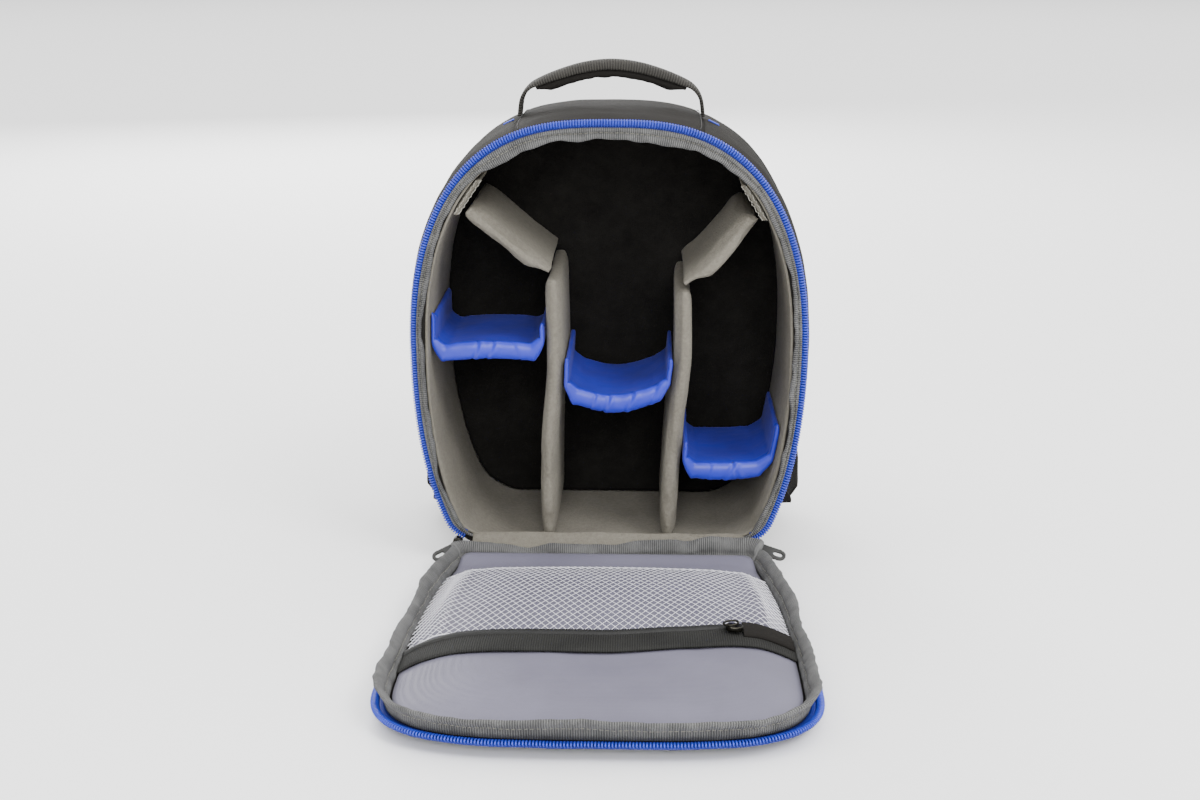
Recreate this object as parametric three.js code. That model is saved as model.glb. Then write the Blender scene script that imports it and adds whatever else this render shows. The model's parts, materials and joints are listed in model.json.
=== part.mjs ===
// A small camera backpack that stands open. Its front flap is folded down onto the
// ground in front of it, so that the padded compartments inside can be seen.
// Millimetres, +Z up, the open front towards -Y. The origin is the middle of the
// base, on the ground that the base and the flap rest on.

import * as THREE from 'three';

// Clearance that sewn or seated pieces keep from each other
const GAP = 0.3;

// Shell: walls, back and opening
const SHELL_DEPTH = 144;
const OPENING_WIDTH = 276;
const OPENING_TOP = 318;
const HINGE_HEIGHT = 17;
const WIDEST_HEIGHT = 160;
const SIDE_REACH = 200;
const OPENING_CORNER = 14;
const BASE_CORNER = 26;
const BASE_WRAP = 24;
const WALL_THICKNESS = 9.5;
const HINGE_LIP = 3.5;
const WALL_BULGE = 4.5;
const BACK_THICKNESS = 10;
const BACK_SWELL = 3;
const LINING_THICKNESS = 1.5;

// Zip and bound seam round the opening
const ZIP_TAPE_WIDTH = 8.5;
const ZIP_TAPE_THICKNESS = 1.1;
const ZIP_COIL_WIDTH = 4.2;
const ZIP_COIL_HEIGHT = 2.4;
const ZIP_END_HEIGHT = 26;
const BINDING_THICKNESS = 2.8;
const BINDING_WIDTH = 8.5;
const BINDING_START = 4.2;

// Flap, lying in front of the opening
const HINGE_LENGTH = 20;
const FLAP_LENGTH = 282;
const FLAP_TAKE_IN = 14;
const FLAP_WIDEST = 235;
const FLAP_REACH = 328;
const FLAP_CORNER = 12;
const FLAP_PAD_HEIGHT = 20;
const FLAP_LINING_THICKNESS = 1.2;
const FLAP_SEAM_INSET = 8;
const FLAP_BINDING_HEIGHT = 13;
const FLAP_BINDING_LEAN = 5;
const FLAP_ZIP_DROOP = 1.05;
const FLAP_ZIP_TWIST = 110;
const FLAP_ZIP_PLACE = 0.45;
const FLAP_COIL_CLEARANCE = 0.72;
const HINGE_STRIP_THICKNESS = 2;
const HINGE_SAG = 1;
const HINGE_BINDING_LEAN = 3;

// Net pocket on the flap
const POCKET_MOUTH = 56;
const POCKET_DEPTH = 118;
const POCKET_STAND_OFF = 1;
const NET_THICKNESS = 1.2;
const POCKET_TAPE_STAND_OFF = 0.8;
const POCKET_TAPE_WIDTH = 31;
const POCKET_TAPE_THICKNESS = 1.5;
const POCKET_COIL_WIDTH = 5;
const POCKET_COIL_HEIGHT = 1.8;
const POCKET_COIL_PLACE = 0.3;
const POCKET_MOUTH_BOW = 10;
const POCKET_COVER_LENGTH = 42;
const POCKET_COVER_THICKNESS = 1.4;
const SLIDER_LENGTH = 12;
const SLIDER_WIDTH = 8;
const SLIDER_HEIGHT = 3.4;
const RING_RADIUS = 4.2;
const RING_WIRE = 0.8;

// Sliders and pulls of the main zip
const PULL_LENGTH = 24;
const PULL_WIDTH = 9.5;
const PULL_THICKNESS = 1.8;
const PULL_SLOT_LENGTH = 7;
const PULL_SLOT_WIDTH = 3.6;
const PULL_SLOT_INSET = 6;
const MAIN_SLIDER_LENGTH = 15;
const MAIN_SLIDER_WIDTH = 9;
const MAIN_SLIDER_HEIGHT = 6;
const MAIN_SLIDER_DROP = 1;

// Padded dividers
const DIVIDER_THICKNESS = 13;
const DIVIDER_RECESS = 8;
const TAB_THICKNESS = 4.5;
const TAB_LENGTH = 26;
const SHELF_THICKNESS = 9;
const SHELF_TAB_THICKNESS = 3.5;
const SHELF_RECESS = 12;
const SHELF_DEPTH = 104;

// Grab handle on top
const HANDLE_SPAN = 130;
const HANDLE_RISE = 38;
const HANDLE_WEBBING_WIDTH = 26;
const HANDLE_WEBBING_THICKNESS = 2.6;
const HANDLE_PLACE = -2;
const HANDLE_FOLD = 5;
const GRIP_LENGTH = 110;
const GRIP_WIDTH = 21;
const GRIP_THICKNESS = 8;
const GRIP_END_THICKNESS = 3.6;
const GRIP_OVERHANG = 1;

// Shoulder straps on the back
const STRAP_THICKNESS = 10;
const STRAP_WIDTH = 52;
const STRAP_TOP = 292;
const STRAP_BOTTOM = 118;
const STRAP_TOP_PLACE = 36;
const STRAP_BOW = 34;
const STRAP_SPREAD = 50;
const ADJUSTER_LENGTH = 26;
const ADJUSTER_WIDTH = 36;
const ADJUSTER_THICKNESS = 4;
const ADJUSTER_BAR = 4;
const STRAP_WEBBING_WIDTH = 25;
const STRAP_WEBBING_THICKNESS = 1.8;
const WING_FOOT = 8;
const WING_LENGTH = 30;
const WING_TIP_HEIGHT = 12;
const WING_TIP_WIDTH = 5;
const WING_REACH = 2;
const WING_THICKNESS = 4;
const WING_PLACE = 30;

// Stations round an outline, and the length of outline that counts like a turn of one radian
const STATIONS = 48;
const TURN_LENGTH = 60;

// Places that follow from the sizes above
const FRONT = -SHELL_DEPTH / 2;
const BACK = SHELL_DEPTH / 2;
const WALL_BACK = BACK - BACK_THICKNESS - GAP;
const ROOM_BACK = WALL_BACK - LINING_THICKNESS - GAP;
const ROOM_INSET = WALL_THICKNESS + GAP + LINING_THICKNESS;
const ROOM_FLOOR = ROOM_INSET;
const FLAP_WIDTH = OPENING_WIDTH - FLAP_TAKE_IN;

// Arches: each outline is a superellipse cut off at its foot, with rounded corners there
const SHELL_ARCH = {
  halfWidth: OPENING_WIDTH / 2,
  widest: WIDEST_HEIGHT,
  top: OPENING_TOP,
  foot: 0,
  reach: SIDE_REACH,
  corner: BASE_CORNER,
  crownPower: 2.2,
  crownRoot: 2.8,
};
const OPENING_ARCH = { ...SHELL_ARCH, foot: HINGE_HEIGHT, corner: OPENING_CORNER };
const FLAP_ARCH = {
  halfWidth: FLAP_WIDTH / 2,
  widest: FLAP_WIDEST,
  top: HINGE_LENGTH + FLAP_LENGTH,
  foot: HINGE_LENGTH,
  reach: FLAP_REACH,
  corner: FLAP_CORNER,
  crownPower: 2.6,
  crownRoot: 3.7,
};
const SIDE_POWER = 2.2;
const SIDE_ROOT = 2.8;

// Wall sections from the opening to the back, as shares: depth of the shell's depth,
// opening of the way from the shell's outline to the opening's, bulge of the bulge.
// The lining has a row of its own only where the wall's inner face bends
const WALL_ROWS = [
  { depth: 0.0, opening: 1.0, bulge: 0.0, lined: true },
  { depth: 0.05, opening: 0.45, bulge: 0.35, lined: true },
  { depth: 0.13, opening: 0.0, bulge: 0.75, lined: true },
  { depth: 0.45, opening: 0.0, bulge: 1.0, lined: false },
  { depth: 0.75, opening: 0.0, bulge: 0.85, lined: false },
  { depth: 1.0, opening: 0.0, bulge: 0.1, lined: true },
];

// Padded back, from its inner face out and round to its outer face, as shares:
// size of the shell's outline, depth of the back's thickness, swell of its swell
const BACK_ROWS = [
  { size: 0.3, depth: 0.0, swell: 0.0 },
  { size: 0.995, depth: 0.0, swell: 0.0 },
  { size: 1.01, depth: 0.45, swell: 0.0 },
  { size: 0.985, depth: 0.85, swell: 0.0 },
  { size: 0.94, depth: 1.0, swell: 0.3 },
  { size: 0.88, depth: 1.0, swell: 1.0 },
  { size: 0.3, depth: 1.0, swell: 1.0 },
];

// Flap pad, as shares: size of the seam outline, under and over of the pad's height
const FLAP_ROWS = [
  { size: 0.15, under: 0.0, over: 1.0 },
  { size: 0.5, under: 0.0, over: 0.94 },
  { size: 0.76, under: 0.0, over: 0.8 },
  { size: 0.92, under: 0.15, over: 0.62 },
  { size: 1.0, under: 0.31, over: 0.46 },
];

// Zip coil over the edge of its tape, as shares: reach of its width, rise of its height
const OPENING_COIL_ROWS = [
  { reach: -0.2, rise: 0.5 },
  { reach: 0.15, rise: 1.0 },
  { reach: 0.6, rise: 1.0 },
  { reach: 0.8, rise: 0.5 },
  { reach: 0.8, rise: 0.0 },
  { reach: -0.2, rise: 0.0 },
];
const FLAP_COIL_ROWS = [
  { reach: -0.7, rise: 0.0 },
  { reach: 0.3, rise: 0.0 },
  { reach: 0.3, rise: 0.5 },
  { reach: 0.05, rise: 1.0 },
  { reach: -0.45, rise: 1.0 },
  { reach: -0.7, rise: 0.5 },
];

// Bound seam that lies on the opening's zip tape, as shares: reach of its width,
// rise of its thickness
const LYING_SEAM_ROWS = [
  { reach: 0.0, rise: 0.5 },
  { reach: 0.3, rise: 1.0 },
  { reach: 1.0, rise: 0.7 },
  { reach: 1.0, rise: 0.0 },
  { reach: 0.3, rise: 0.0 },
  { reach: 0.0, rise: 0.0 },
];

// Bound seam that stands up round the flap, as shares: up of its height, lean of its
// lean, side of half its thickness
const STANDING_SEAM_ROWS = [
  { up: 0.0, lean: 0.0, side: -1.0 },
  { up: 0.6, lean: 0.35, side: -1.0 },
  { up: 1.0, lean: 1.0, side: -0.6 },
  { up: 1.0, lean: 1.0, side: 0.6 },
  { up: 0.6, lean: 0.35, side: 1.0 },
  { up: 0.0, lean: 0.0, side: 1.0 },
];

// Waves of the soft bound seams: swing in mm, turns round the outline, start in turns
const OPENING_WAVES = [
  { swing: 0.8, turns: 9, start: 0.1 },
  { swing: 0.5, turns: 17, start: 0.4 },
];
const FLAP_WAVES = [
  { swing: 1.3, turns: 6, start: 0.2 },
  { swing: 0.7, turns: 13, start: 0.55 },
];
const HINGE_WAVES = [
  { swing: 3.6, turns: 0.6, start: 0.62 },
  { swing: 1.2, turns: 3.4, start: 0.1 },
];

// How far a wave of the flap's seam also moves its top outward, as a share of the wave
const WAVE_LEAN = 0.6;

// Pocket zip across the flap, as shares: across of half the free width, shift of the
// pocket's depth towards the flap's front
const POCKET_TAPE_ROWS = [
  { across: -1.0, shift: 0.11 },
  { across: -0.88, shift: 0.03 },
  { across: -0.7, shift: -0.02 },
  { across: 0.0, shift: 0.0 },
  { across: 0.45, shift: -0.08 },
  { across: 0.8, shift: -0.16 },
  { across: 1.0, shift: -0.09 },
];

// Places of the cover over the zip's end, as shares of the tape's width
const POCKET_COVER_ROWS = [0.05, 0.4, 0.75];

// Pulls of the main zip, in radians: turn about the upright, dip of the tip
const PULLS = [
  { side: 1, name: 'right', turn: -0.2, dip: 0.12 },
  { side: -1, name: 'left', turn: 0.35, dip: 0.12 },
];

// Rounded front edge of a padded divider, as shares: inset of its thickness, depth of
// its rounding
const PAD_EDGE_ROWS = [
  { inset: 0.3, depth: 0.0 },
  { inset: 0.08, depth: 0.3 },
  { inset: 0.0, depth: 1.0 },
];

// Tall dividers from floor to top, as shares: across of half the room's width,
// up of the opening's top, recess in divider recesses
const TALL_LEFT_ROWS = [
  { across: -0.345, up: 0.04, recess: 2.4 },
  { across: -0.345, up: 0.13, recess: 1.2 },
  { across: -0.335, up: 0.29, recess: 1.0 },
  { across: -0.305, up: 0.44, recess: 1.0 },
  { across: -0.312, up: 0.63, recess: 1.0 },
];
const TALL_RIGHT_ROWS = [
  { across: 0.335, up: 0.04, recess: 2.4 },
  { across: 0.355, up: 0.21, recess: 1.2 },
  { across: 0.392, up: 0.37, recess: 1.0 },
  { across: 0.415, up: 0.48, recess: 1.0 },
  { across: 0.408, up: 0.6, recess: 1.0 },
];

// Sloping dividers, as shares: wall of the opening's top where they reach the walls,
// sag of their length, seat of the way back over the tall divider's top
const SLOPES = {
  left: { side: -1, wall: 0.8, sag: 0.015, seat: 0.4 },
  right: { side: 1, wall: 0.79, sag: 0.05, seat: 0.4 },
};

// Small shelves between the walls and the tall dividers, as shares of the opening's top:
// left and right heights of the ends, sag of the middle, rise of each end's tab
const SHELVES = {
  left: { left: 0.475, right: 0.478, sag: -0.006, leftTab: 0.085, rightTab: 0.06 },
  middle: { left: 0.378, right: 0.385, sag: 0.022, leftTab: 0.08, rightTab: 0.075 },
  right: { left: 0.205, right: 0.21, sag: 0.004, leftTab: 0.062, rightTab: 0.1 },
};

// Handle centre line over one side, as shares: across of half the span, up of the rise,
// fold of how far the webbing's long edges fold down over the grip
const HANDLE_ROWS = [
  { across: 1.0, up: 0.0, fold: 0.0 },
  { across: 0.975, up: 0.3, fold: 0.0 },
  { across: 0.91, up: 0.5, fold: 0.2 },
  { across: 0.8, up: 0.64, fold: 0.6 },
  { across: 0.55, up: 0.82, fold: 0.9 },
  { across: 0.28, up: 0.95, fold: 1.0 },
  { across: 0.0, up: 1.0, fold: 1.0 },
];

// Section of the grip under the webbing, as shares: across of half the folded width,
// deep of the grip's thickness
const GRIP_ROWS = [
  { across: -0.86, deep: 0.45 },
  { across: -0.5, deep: 1.0 },
  { across: 0.5, deep: 1.0 },
  { across: 0.86, deep: 0.45 },
];

// Shoulder strap from top to bottom, as shares: down of its height, bow of the bow away
// from the back, spread of the sideways spread, width of the width
const STRAP_ROWS = [
  { down: 0.0, bow: 0.0, spread: 0.0, width: 0.8 },
  { down: 0.08, bow: 0.02, spread: 0.05, width: 0.9 },
  { down: 0.25, bow: 0.55, spread: 0.34, width: 1.0 },
  { down: 0.42, bow: 0.9, spread: 0.62, width: 1.0 },
  { down: 0.6, bow: 1.0, spread: 0.83, width: 0.96 },
  { down: 0.8, bow: 0.92, spread: 0.96, width: 0.84 },
  { down: 0.94, bow: 0.82, spread: 1.0, width: 0.68 },
  { down: 1.0, bow: 0.78, spread: 1.0, width: 0.6 },
];

// Where the strap's webbing turns round the shell's back corner: in from the side, out
// from the back and up from the wing tab, in mm, and how it turns there, as shares
const WEBBING_BEND = { inward: 2, outward: 4, rise: 34, slant: 0.6, twist: 2.2 };
const WEBBING_START = { inward: 0.5, outward: 2, rise: 4 };

// Places of the webbing over its adjuster, as shares of the adjuster's length
const WEBBING_PLACES = [0.9, 0.5, 0, -0.35];

// Colours and surfaces
const OUTER_CLOTH = new THREE.MeshStandardMaterial({ color: 0x34322e, roughness: 0.85, metalness: 0 });
const LINING_CLOTH = new THREE.MeshStandardMaterial({ color: 0x7d7970, roughness: 0.95, metalness: 0 });
const SHADE_CLOTH = new THREE.MeshStandardMaterial({ color: 0x3b3a38, roughness: 0.95, metalness: 0 });
const SMOOTH_CLOTH = new THREE.MeshStandardMaterial({ color: 0x8f8e9b, roughness: 0.7, metalness: 0 });
const BINDING_TAPE = new THREE.MeshStandardMaterial({ color: 0x7e7e7a, roughness: 0.85, metalness: 0 });
const BLUE_CLOTH = new THREE.MeshStandardMaterial({ color: 0x3556d2, roughness: 0.6, metalness: 0 });
const BLUE_ZIP = new THREE.MeshStandardMaterial({ color: 0x2d4cc4, roughness: 0.5, metalness: 0 });
const BLACK_WEBBING = new THREE.MeshStandardMaterial({ color: 0x3a3936, roughness: 0.8, metalness: 0 });
const BLACK_ZIP = new THREE.MeshStandardMaterial({ color: 0x2f2f2e, roughness: 0.7, metalness: 0 });
const WHITE_NET = new THREE.MeshStandardMaterial({ color: 0xc4c4cc, roughness: 0.6, metalness: 0 });
const BLACK_PLASTIC = new THREE.MeshStandardMaterial({ color: 0x1f1f1e, roughness: 0.45, metalness: 0 });
const DARK_METAL = new THREE.MeshStandardMaterial({ color: 0x3b3a33, roughness: 0.35, metalness: 0.9 });

const backpack = new THREE.Group();

function addPiece(name, geometry, material) {
  const piece = new THREE.Mesh(geometry, material);
  piece.name = name;
  backpack.add(piece);
  return piece;
}

// Helpers for numbers and rows

const mix = (a, b, share) => a + (b - a) * share;
const clamp01 = (value) => Math.min(Math.max(value, 0), 1);
const smoothStep = (value) => clamp01(value) ** 2 * (3 - 2 * clamp01(value));

function waveAt(waves, share) {
  let sum = 0;
  for (const { swing, turns, start } of waves) {
    sum += swing * Math.sin(2 * Math.PI * (turns * share + start));
  }
  return sum;
}

// Value of one column of a table where another column has the given value
function lookUp(rows, key, value, column) {
  for (let i = 1; i < rows.length; i++) {
    const low = rows[i - 1];
    const high = rows[i];
    if ((value - low[key]) * (value - high[key]) <= 0) {
      return mix(low[column], high[column], (value - low[key]) / (high[key] - low[key]));
    }
  }
  const before = Math.abs(value - rows[0][key]) < Math.abs(value - rows.at(-1)[key]);
  return before ? rows[0][column] : rows.at(-1)[column];
}

// Helpers for solids

function signedVolume(points, faces) {
  let volume = 0;
  for (const [a, b, c] of faces) {
    volume += points[a].dot(new THREE.Vector3().crossVectors(points[b], points[c])) / 6;
  }
  return volume;
}

function solidFromFaces(points, faces) {
  const outward = signedVolume(points, faces) > 0;
  const index = faces.flatMap(([a, b, c]) => (outward ? [a, b, c] : [a, c, b]));
  const geometry = new THREE.BufferGeometry().setFromPoints(points);
  geometry.setIndex(index);
  geometry.computeVertexNormals();
  return geometry;
}

// Faces between two neighbouring rings of a loft
function bandFaces(first, second, count) {
  const faces = [];
  for (let i = 0; i < count; i++) {
    const next = (i + 1) % count;
    faces.push([first + i, first + next, second + next]);
    faces.push([first + i, second + next, second + i]);
  }
  return faces;
}

// A strip of faces over a ring whose second half runs back beside its first half
function stripCap(first, count, reversed) {
  const faces = [];
  for (let i = 0; i < count / 2 - 1; i++) {
    const [a, b, c, d] = [first + i, first + i + 1, first + count - 2 - i, first + count - 1 - i];
    faces.push(reversed ? [a, c, b] : [a, b, c]);
    faces.push(reversed ? [a, d, c] : [a, c, d]);
  }
  return faces;
}

// Loft through sections that each run along one side and back along the other
function loftSections(sections, closed = false) {
  const count = sections[0].length;
  const points = sections.flat();
  const faces = [];
  const last = sections.length - 1;
  for (let k = 0; k < last; k++) {
    faces.push(...bandFaces(k * count, (k + 1) * count, count));
  }
  if (closed) {
    faces.push(...bandFaces(last * count, 0, count));
  } else {
    faces.push(...stripCap(0, count, true));
    faces.push(...stripCap(last * count, count, false));
  }
  return solidFromFaces(points, faces);
}

// Loft through whole outlines, closed at both ends by a fan round its middle point
function loftOutlines(outlines) {
  const count = outlines[0].length;
  const points = outlines.flat();
  const faces = [];
  const last = outlines.length - 1;
  for (let k = 0; k < last; k++) {
    faces.push(...bandFaces(k * count, (k + 1) * count, count));
  }
  for (const [ring, reversed] of [[0, true], [last, false]]) {
    const middle = new THREE.Vector3();
    for (const point of outlines[ring]) {
      middle.addScaledVector(point, 1 / count);
    }
    const centre = points.push(middle) - 1;
    for (let i = 0; i < count; i++) {
      const [a, b] = [ring * count + i, ring * count + ((i + 1) % count)];
      faces.push(reversed ? [centre, b, a] : [centre, a, b]);
    }
  }
  return solidFromFaces(points, faces);
}

// Helpers for arch outlines

function archHalfWidth(arch, height) {
  const above = height > arch.widest;
  const reach = above ? arch.top - arch.widest : arch.reach;
  const power = above ? arch.crownPower : SIDE_POWER;
  const root = above ? arch.crownRoot : SIDE_ROOT;
  const share = Math.min(Math.abs(height - arch.widest) / reach, 1);
  return arch.halfWidth * (1 - share ** power) ** (1 / root);
}

// The right half of an arch from the middle of its foot to its top, finely divided
function archRightHalf(arch) {
  const half = [new THREE.Vector2(0, arch.foot)];
  const cornerSteps = 16;
  for (let k = 0; k <= cornerSteps; k++) {
    const angle = (Math.PI / 2) * (k / cornerSteps);
    const height = arch.foot + arch.corner * (1 - Math.cos(angle));
    half.push(new THREE.Vector2(archHalfWidth(arch, height) - arch.corner * (1 - Math.sin(angle)), height));
  }
  const sideSteps = 240;
  const sideFoot = arch.foot + arch.corner;
  for (let k = 1; k <= sideSteps; k++) {
    const height = arch.top - (arch.top - sideFoot) * (1 - k / sideSteps) ** 2.5;
    half.push(new THREE.Vector2(archHalfWidth(arch, height), height));
  }
  return half;
}

// Points along a line, set closer together where the line bends
function spacedPoints(line, count) {
  const lengths = [0];
  for (let i = 1; i < line.length; i++) {
    const along = line[i].clone().sub(line[i - 1]);
    const before = i > 1 ? line[i - 1].clone().sub(line[i - 2]) : along;
    const turn = Math.abs(Math.atan2(before.cross(along), before.dot(along)));
    lengths.push(lengths[i - 1] + along.length() + TURN_LENGTH * turn);
  }
  const spaced = [];
  let segment = 1;
  for (let k = 0; k <= count; k++) {
    const length = (lengths.at(-1) * k) / count;
    while (segment < line.length - 1 && lengths[segment] < length) {
      segment += 1;
    }
    const share = (length - lengths[segment - 1]) / (lengths[segment] - lengths[segment - 1]);
    spaced.push(new THREE.Vector2().lerpVectors(line[segment - 1], line[segment], share));
  }
  return spaced;
}

// Whole outline, from the middle of the foot to the right and round, with outward normals
function archOutline(arch) {
  const right = spacedPoints(archRightHalf(arch), STATIONS / 2);
  const left = right.slice(1, -1).reverse().map((point) => new THREE.Vector2(-point.x, point.y));
  const points = [...right, ...left];
  return points.map((point, i) => {
    const before = points[(i + STATIONS - 1) % STATIONS];
    const after = points[(i + 1) % STATIONS];
    const along = after.clone().sub(before).normalize();
    return { x: point.x, up: point.y, nx: along.y, nup: -along.x };
  });
}

function outlineAt(outline, station) {
  const low = Math.floor(station);
  const share = station - low;
  const a = outline[((low % STATIONS) + STATIONS) % STATIONS];
  const b = outline[(((low + 1) % STATIONS) + STATIONS) % STATIONS];
  return {
    x: mix(a.x, b.x, share),
    up: mix(a.up, b.up, share),
    nx: mix(a.nx, b.nx, share),
    nup: mix(a.nup, b.nup, share),
  };
}

// Station on the right side where the outline passes the given height
function stationAtHeight(outline, height) {
  for (let i = 0; i < STATIONS / 2; i++) {
    const [a, b] = [outline[i], outline[i + 1]];
    if (a.up <= height && b.up > height) {
      return i + (height - a.up) / (b.up - a.up);
    }
  }
  return STATIONS / 2;
}

// Station on the right of the crown where the outline passes the given half width
function stationAtCrown(outline, halfWidth) {
  for (let i = STATIONS / 2; i > STATIONS / 4; i--) {
    const [a, b] = [outline[i], outline[i - 1]];
    if (Math.abs(a.x) <= halfWidth && b.x > halfWidth) {
      return i - (halfWidth - Math.abs(a.x)) / (b.x - Math.abs(a.x));
    }
  }
  return STATIONS / 4;
}

// Whole and end stations from one place to another
function stationsBetween(from, to) {
  const stations = [from];
  const smallest = 0.2;
  for (let i = Math.ceil(from + smallest); i < to - smallest; i++) {
    stations.push(i);
  }
  stations.push(to);
  return stations;
}

const shellOutline = archOutline(SHELL_ARCH);
const openingOutline = archOutline(OPENING_ARCH);
const flapOutline = archOutline(FLAP_ARCH);

// Shell

// A point of the wall, on its outer face or inset from its inner face
function wallPoint(station, row, outer, inset) {
  const shell = outlineAt(shellOutline, station);
  const opening = outlineAt(openingOutline, station);
  const down = clamp01(-shell.nup);
  const x = mix(shell.x, opening.x, row.opening);
  const up = mix(shell.up, opening.up, row.opening);
  const wall = mix(WALL_THICKNESS, mix(WALL_THICKNESS, HINGE_LIP, row.opening), down);
  const offset = outer ? WALL_BULGE * row.bulge * (1 - down) : -(wall + inset);
  return { x: x + shell.nx * offset, up: up + shell.nup * offset };
}

function wallSection(station) {
  const outer = WALL_ROWS.map((row) => {
    const point = wallPoint(station, row, true, 0);
    return new THREE.Vector3(point.x, mix(FRONT, WALL_BACK, row.depth), point.up);
  });
  const inner = WALL_ROWS.map((row) => {
    const point = wallPoint(station, row, false, 0);
    return new THREE.Vector3(point.x, mix(FRONT, WALL_BACK, row.depth), point.up);
  });
  return [...outer, ...inner.reverse()];
}

function liningSection(station) {
  const point = (row, inset) => {
    const place = wallPoint(station, row, false, inset);
    const depth = Math.min(mix(FRONT, WALL_BACK, row.depth), ROOM_BACK - GAP);
    return new THREE.Vector3(place.x, depth, place.up);
  };
  const rows = WALL_ROWS.filter(({ lined }) => lined);
  const near = rows.map((row) => point(row, GAP + LINING_THICKNESS));
  const far = rows.map((row) => point(row, GAP));
  return [...near, ...far.reverse()];
}

const crownSeam = stationAtCrown(shellOutline, HANDLE_SPAN / 2);
const footSeam = stationAtHeight(shellOutline, BASE_WRAP);

// Half the gap of a seam in stations, where the seam lies
function seamShift(station) {
  const a = outlineAt(shellOutline, Math.floor(station));
  const b = outlineAt(shellOutline, Math.floor(station) + 1);
  return GAP / 2 / Math.hypot(b.x - a.x, b.up - a.up);
}

function wallPanel(from, to) {
  return loftSections(stationsBetween(from + seamShift(from), to - seamShift(to)).map(wallSection));
}

addPiece('base_panel', wallPanel(-footSeam, footSeam), OUTER_CLOTH);
addPiece('side_panel_right', wallPanel(footSeam, crownSeam), OUTER_CLOTH);
addPiece('top_panel', wallPanel(crownSeam, STATIONS - crownSeam), OUTER_CLOTH);
addPiece('side_panel_left', wallPanel(STATIONS - crownSeam, STATIONS - footSeam), OUTER_CLOTH);

const shellMiddle = OPENING_TOP / 2;

// The shell's outline at a size, kept above the ground
function shellRing(size, y) {
  return shellOutline.map(({ x, up }) => {
    return new THREE.Vector3(x * size, y, Math.max(shellMiddle + (up - shellMiddle) * size, 0));
  });
}

function backPanel() {
  const inner = BACK - BACK_THICKNESS;
  return loftOutlines(BACK_ROWS.map(({ size, depth, swell }) => {
    return shellRing(size, inner + BACK_THICKNESS * depth + BACK_SWELL * swell);
  }));
}

addPiece('back_panel', backPanel(), OUTER_CLOTH);

const allStations = [...Array(STATIONS).keys()];
addPiece('wall_lining', loftSections(allStations.map(liningSection), true), LINING_CLOTH);

function backLining() {
  const ring = (inset, y) => shellOutline.map(({ x, up, nx, nup }) => {
    return new THREE.Vector3(x - nx * inset, y, up - nup * inset);
  });
  const inset = WALL_THICKNESS + GAP;
  return loftOutlines([ring(inset, ROOM_BACK), ring(inset, ROOM_BACK + LINING_THICKNESS)]);
}

addPiece('back_lining', backLining(), SHADE_CLOTH);

// Zip half and bound seam round the opening

const zipEnd = stationAtHeight(openingOutline, ZIP_END_HEIGHT);
const openingStations = stationsBetween(zipEnd, STATIONS - zipEnd);

// A section on the front of the opening: inset from its outline, rise in front of it
function frontSection(station, rows) {
  const place = outlineAt(openingOutline, station);
  return rows.map(({ inset, rise }) => {
    return new THREE.Vector3(place.x - place.nx * inset, FRONT - rise, place.up - place.nup * inset);
  });
}

const openingTapeTop = GAP + ZIP_TAPE_THICKNESS;
const openingTapeRows = [
  { inset: 0, rise: openingTapeTop },
  { inset: ZIP_TAPE_WIDTH, rise: openingTapeTop },
  { inset: ZIP_TAPE_WIDTH, rise: GAP },
  { inset: 0, rise: GAP },
];
const openingTapeSections = openingStations.map((station) => frontSection(station, openingTapeRows));
addPiece('opening_zip_tape', loftSections(openingTapeSections), BLUE_ZIP);

const onOpeningTape = openingTapeTop + GAP;
const openingCoilRows = OPENING_COIL_ROWS.map(({ reach, rise }) => {
  return { inset: reach * ZIP_COIL_WIDTH, rise: onOpeningTape + rise * ZIP_COIL_HEIGHT };
});
const openingCoilSections = openingStations.map((station) => frontSection(station, openingCoilRows));
addPiece('opening_zip_coil', loftSections(openingCoilSections), BLUE_ZIP);

const openingBindingSections = openingStations.map((station) => {
  const width = BINDING_WIDTH + waveAt(OPENING_WAVES, station / STATIONS);
  return frontSection(station, LYING_SEAM_ROWS.map(({ reach, rise }) => {
    return { inset: BINDING_START + reach * width, rise: onOpeningTape + rise * BINDING_THICKNESS };
  }));
});
addPiece('opening_binding', loftSections(openingBindingSections), BINDING_TAPE);

// Flap

const flapMiddle = HINGE_LENGTH + FLAP_LENGTH / 2;

function flapHeight(size, column) {
  return FLAP_PAD_HEIGHT * lookUp(FLAP_ROWS, 'size', clamp01(size), column);
}

function flapRing(size, height) {
  return flapOutline.map(({ x, up, nx, nup }) => {
    const seamX = x - nx * FLAP_SEAM_INSET;
    const seamUp = up - nup * FLAP_SEAM_INSET;
    return new THREE.Vector3(seamX * size, FRONT - (flapMiddle + (seamUp - flapMiddle) * size), height);
  });
}

// Size of the seam outline that passes through a point of the flap
function flapSizeAt(x, along) {
  const searchSteps = 24;
  const foot = FLAP_ARCH.foot + FLAP_SEAM_INSET;
  const top = FLAP_ARCH.top - FLAP_SEAM_INSET;
  let [low, high] = [0.02, 1.2];
  for (let k = 0; k < searchSteps; k++) {
    const size = (low + high) / 2;
    const outlineAlong = flapMiddle + (along - flapMiddle) / size;
    const within = outlineAlong > foot && outlineAlong < top;
    const room = within ? archHalfWidth(FLAP_ARCH, outlineAlong) - FLAP_SEAM_INSET : 0;
    if (Math.abs(x) / size <= room) {
      high = size;
    } else {
      low = size;
    }
  }
  return high;
}

function flapLiningTop(x, along) {
  return flapHeight(flapSizeAt(x, along), 'over') + GAP + FLAP_LINING_THICKNESS;
}

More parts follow.
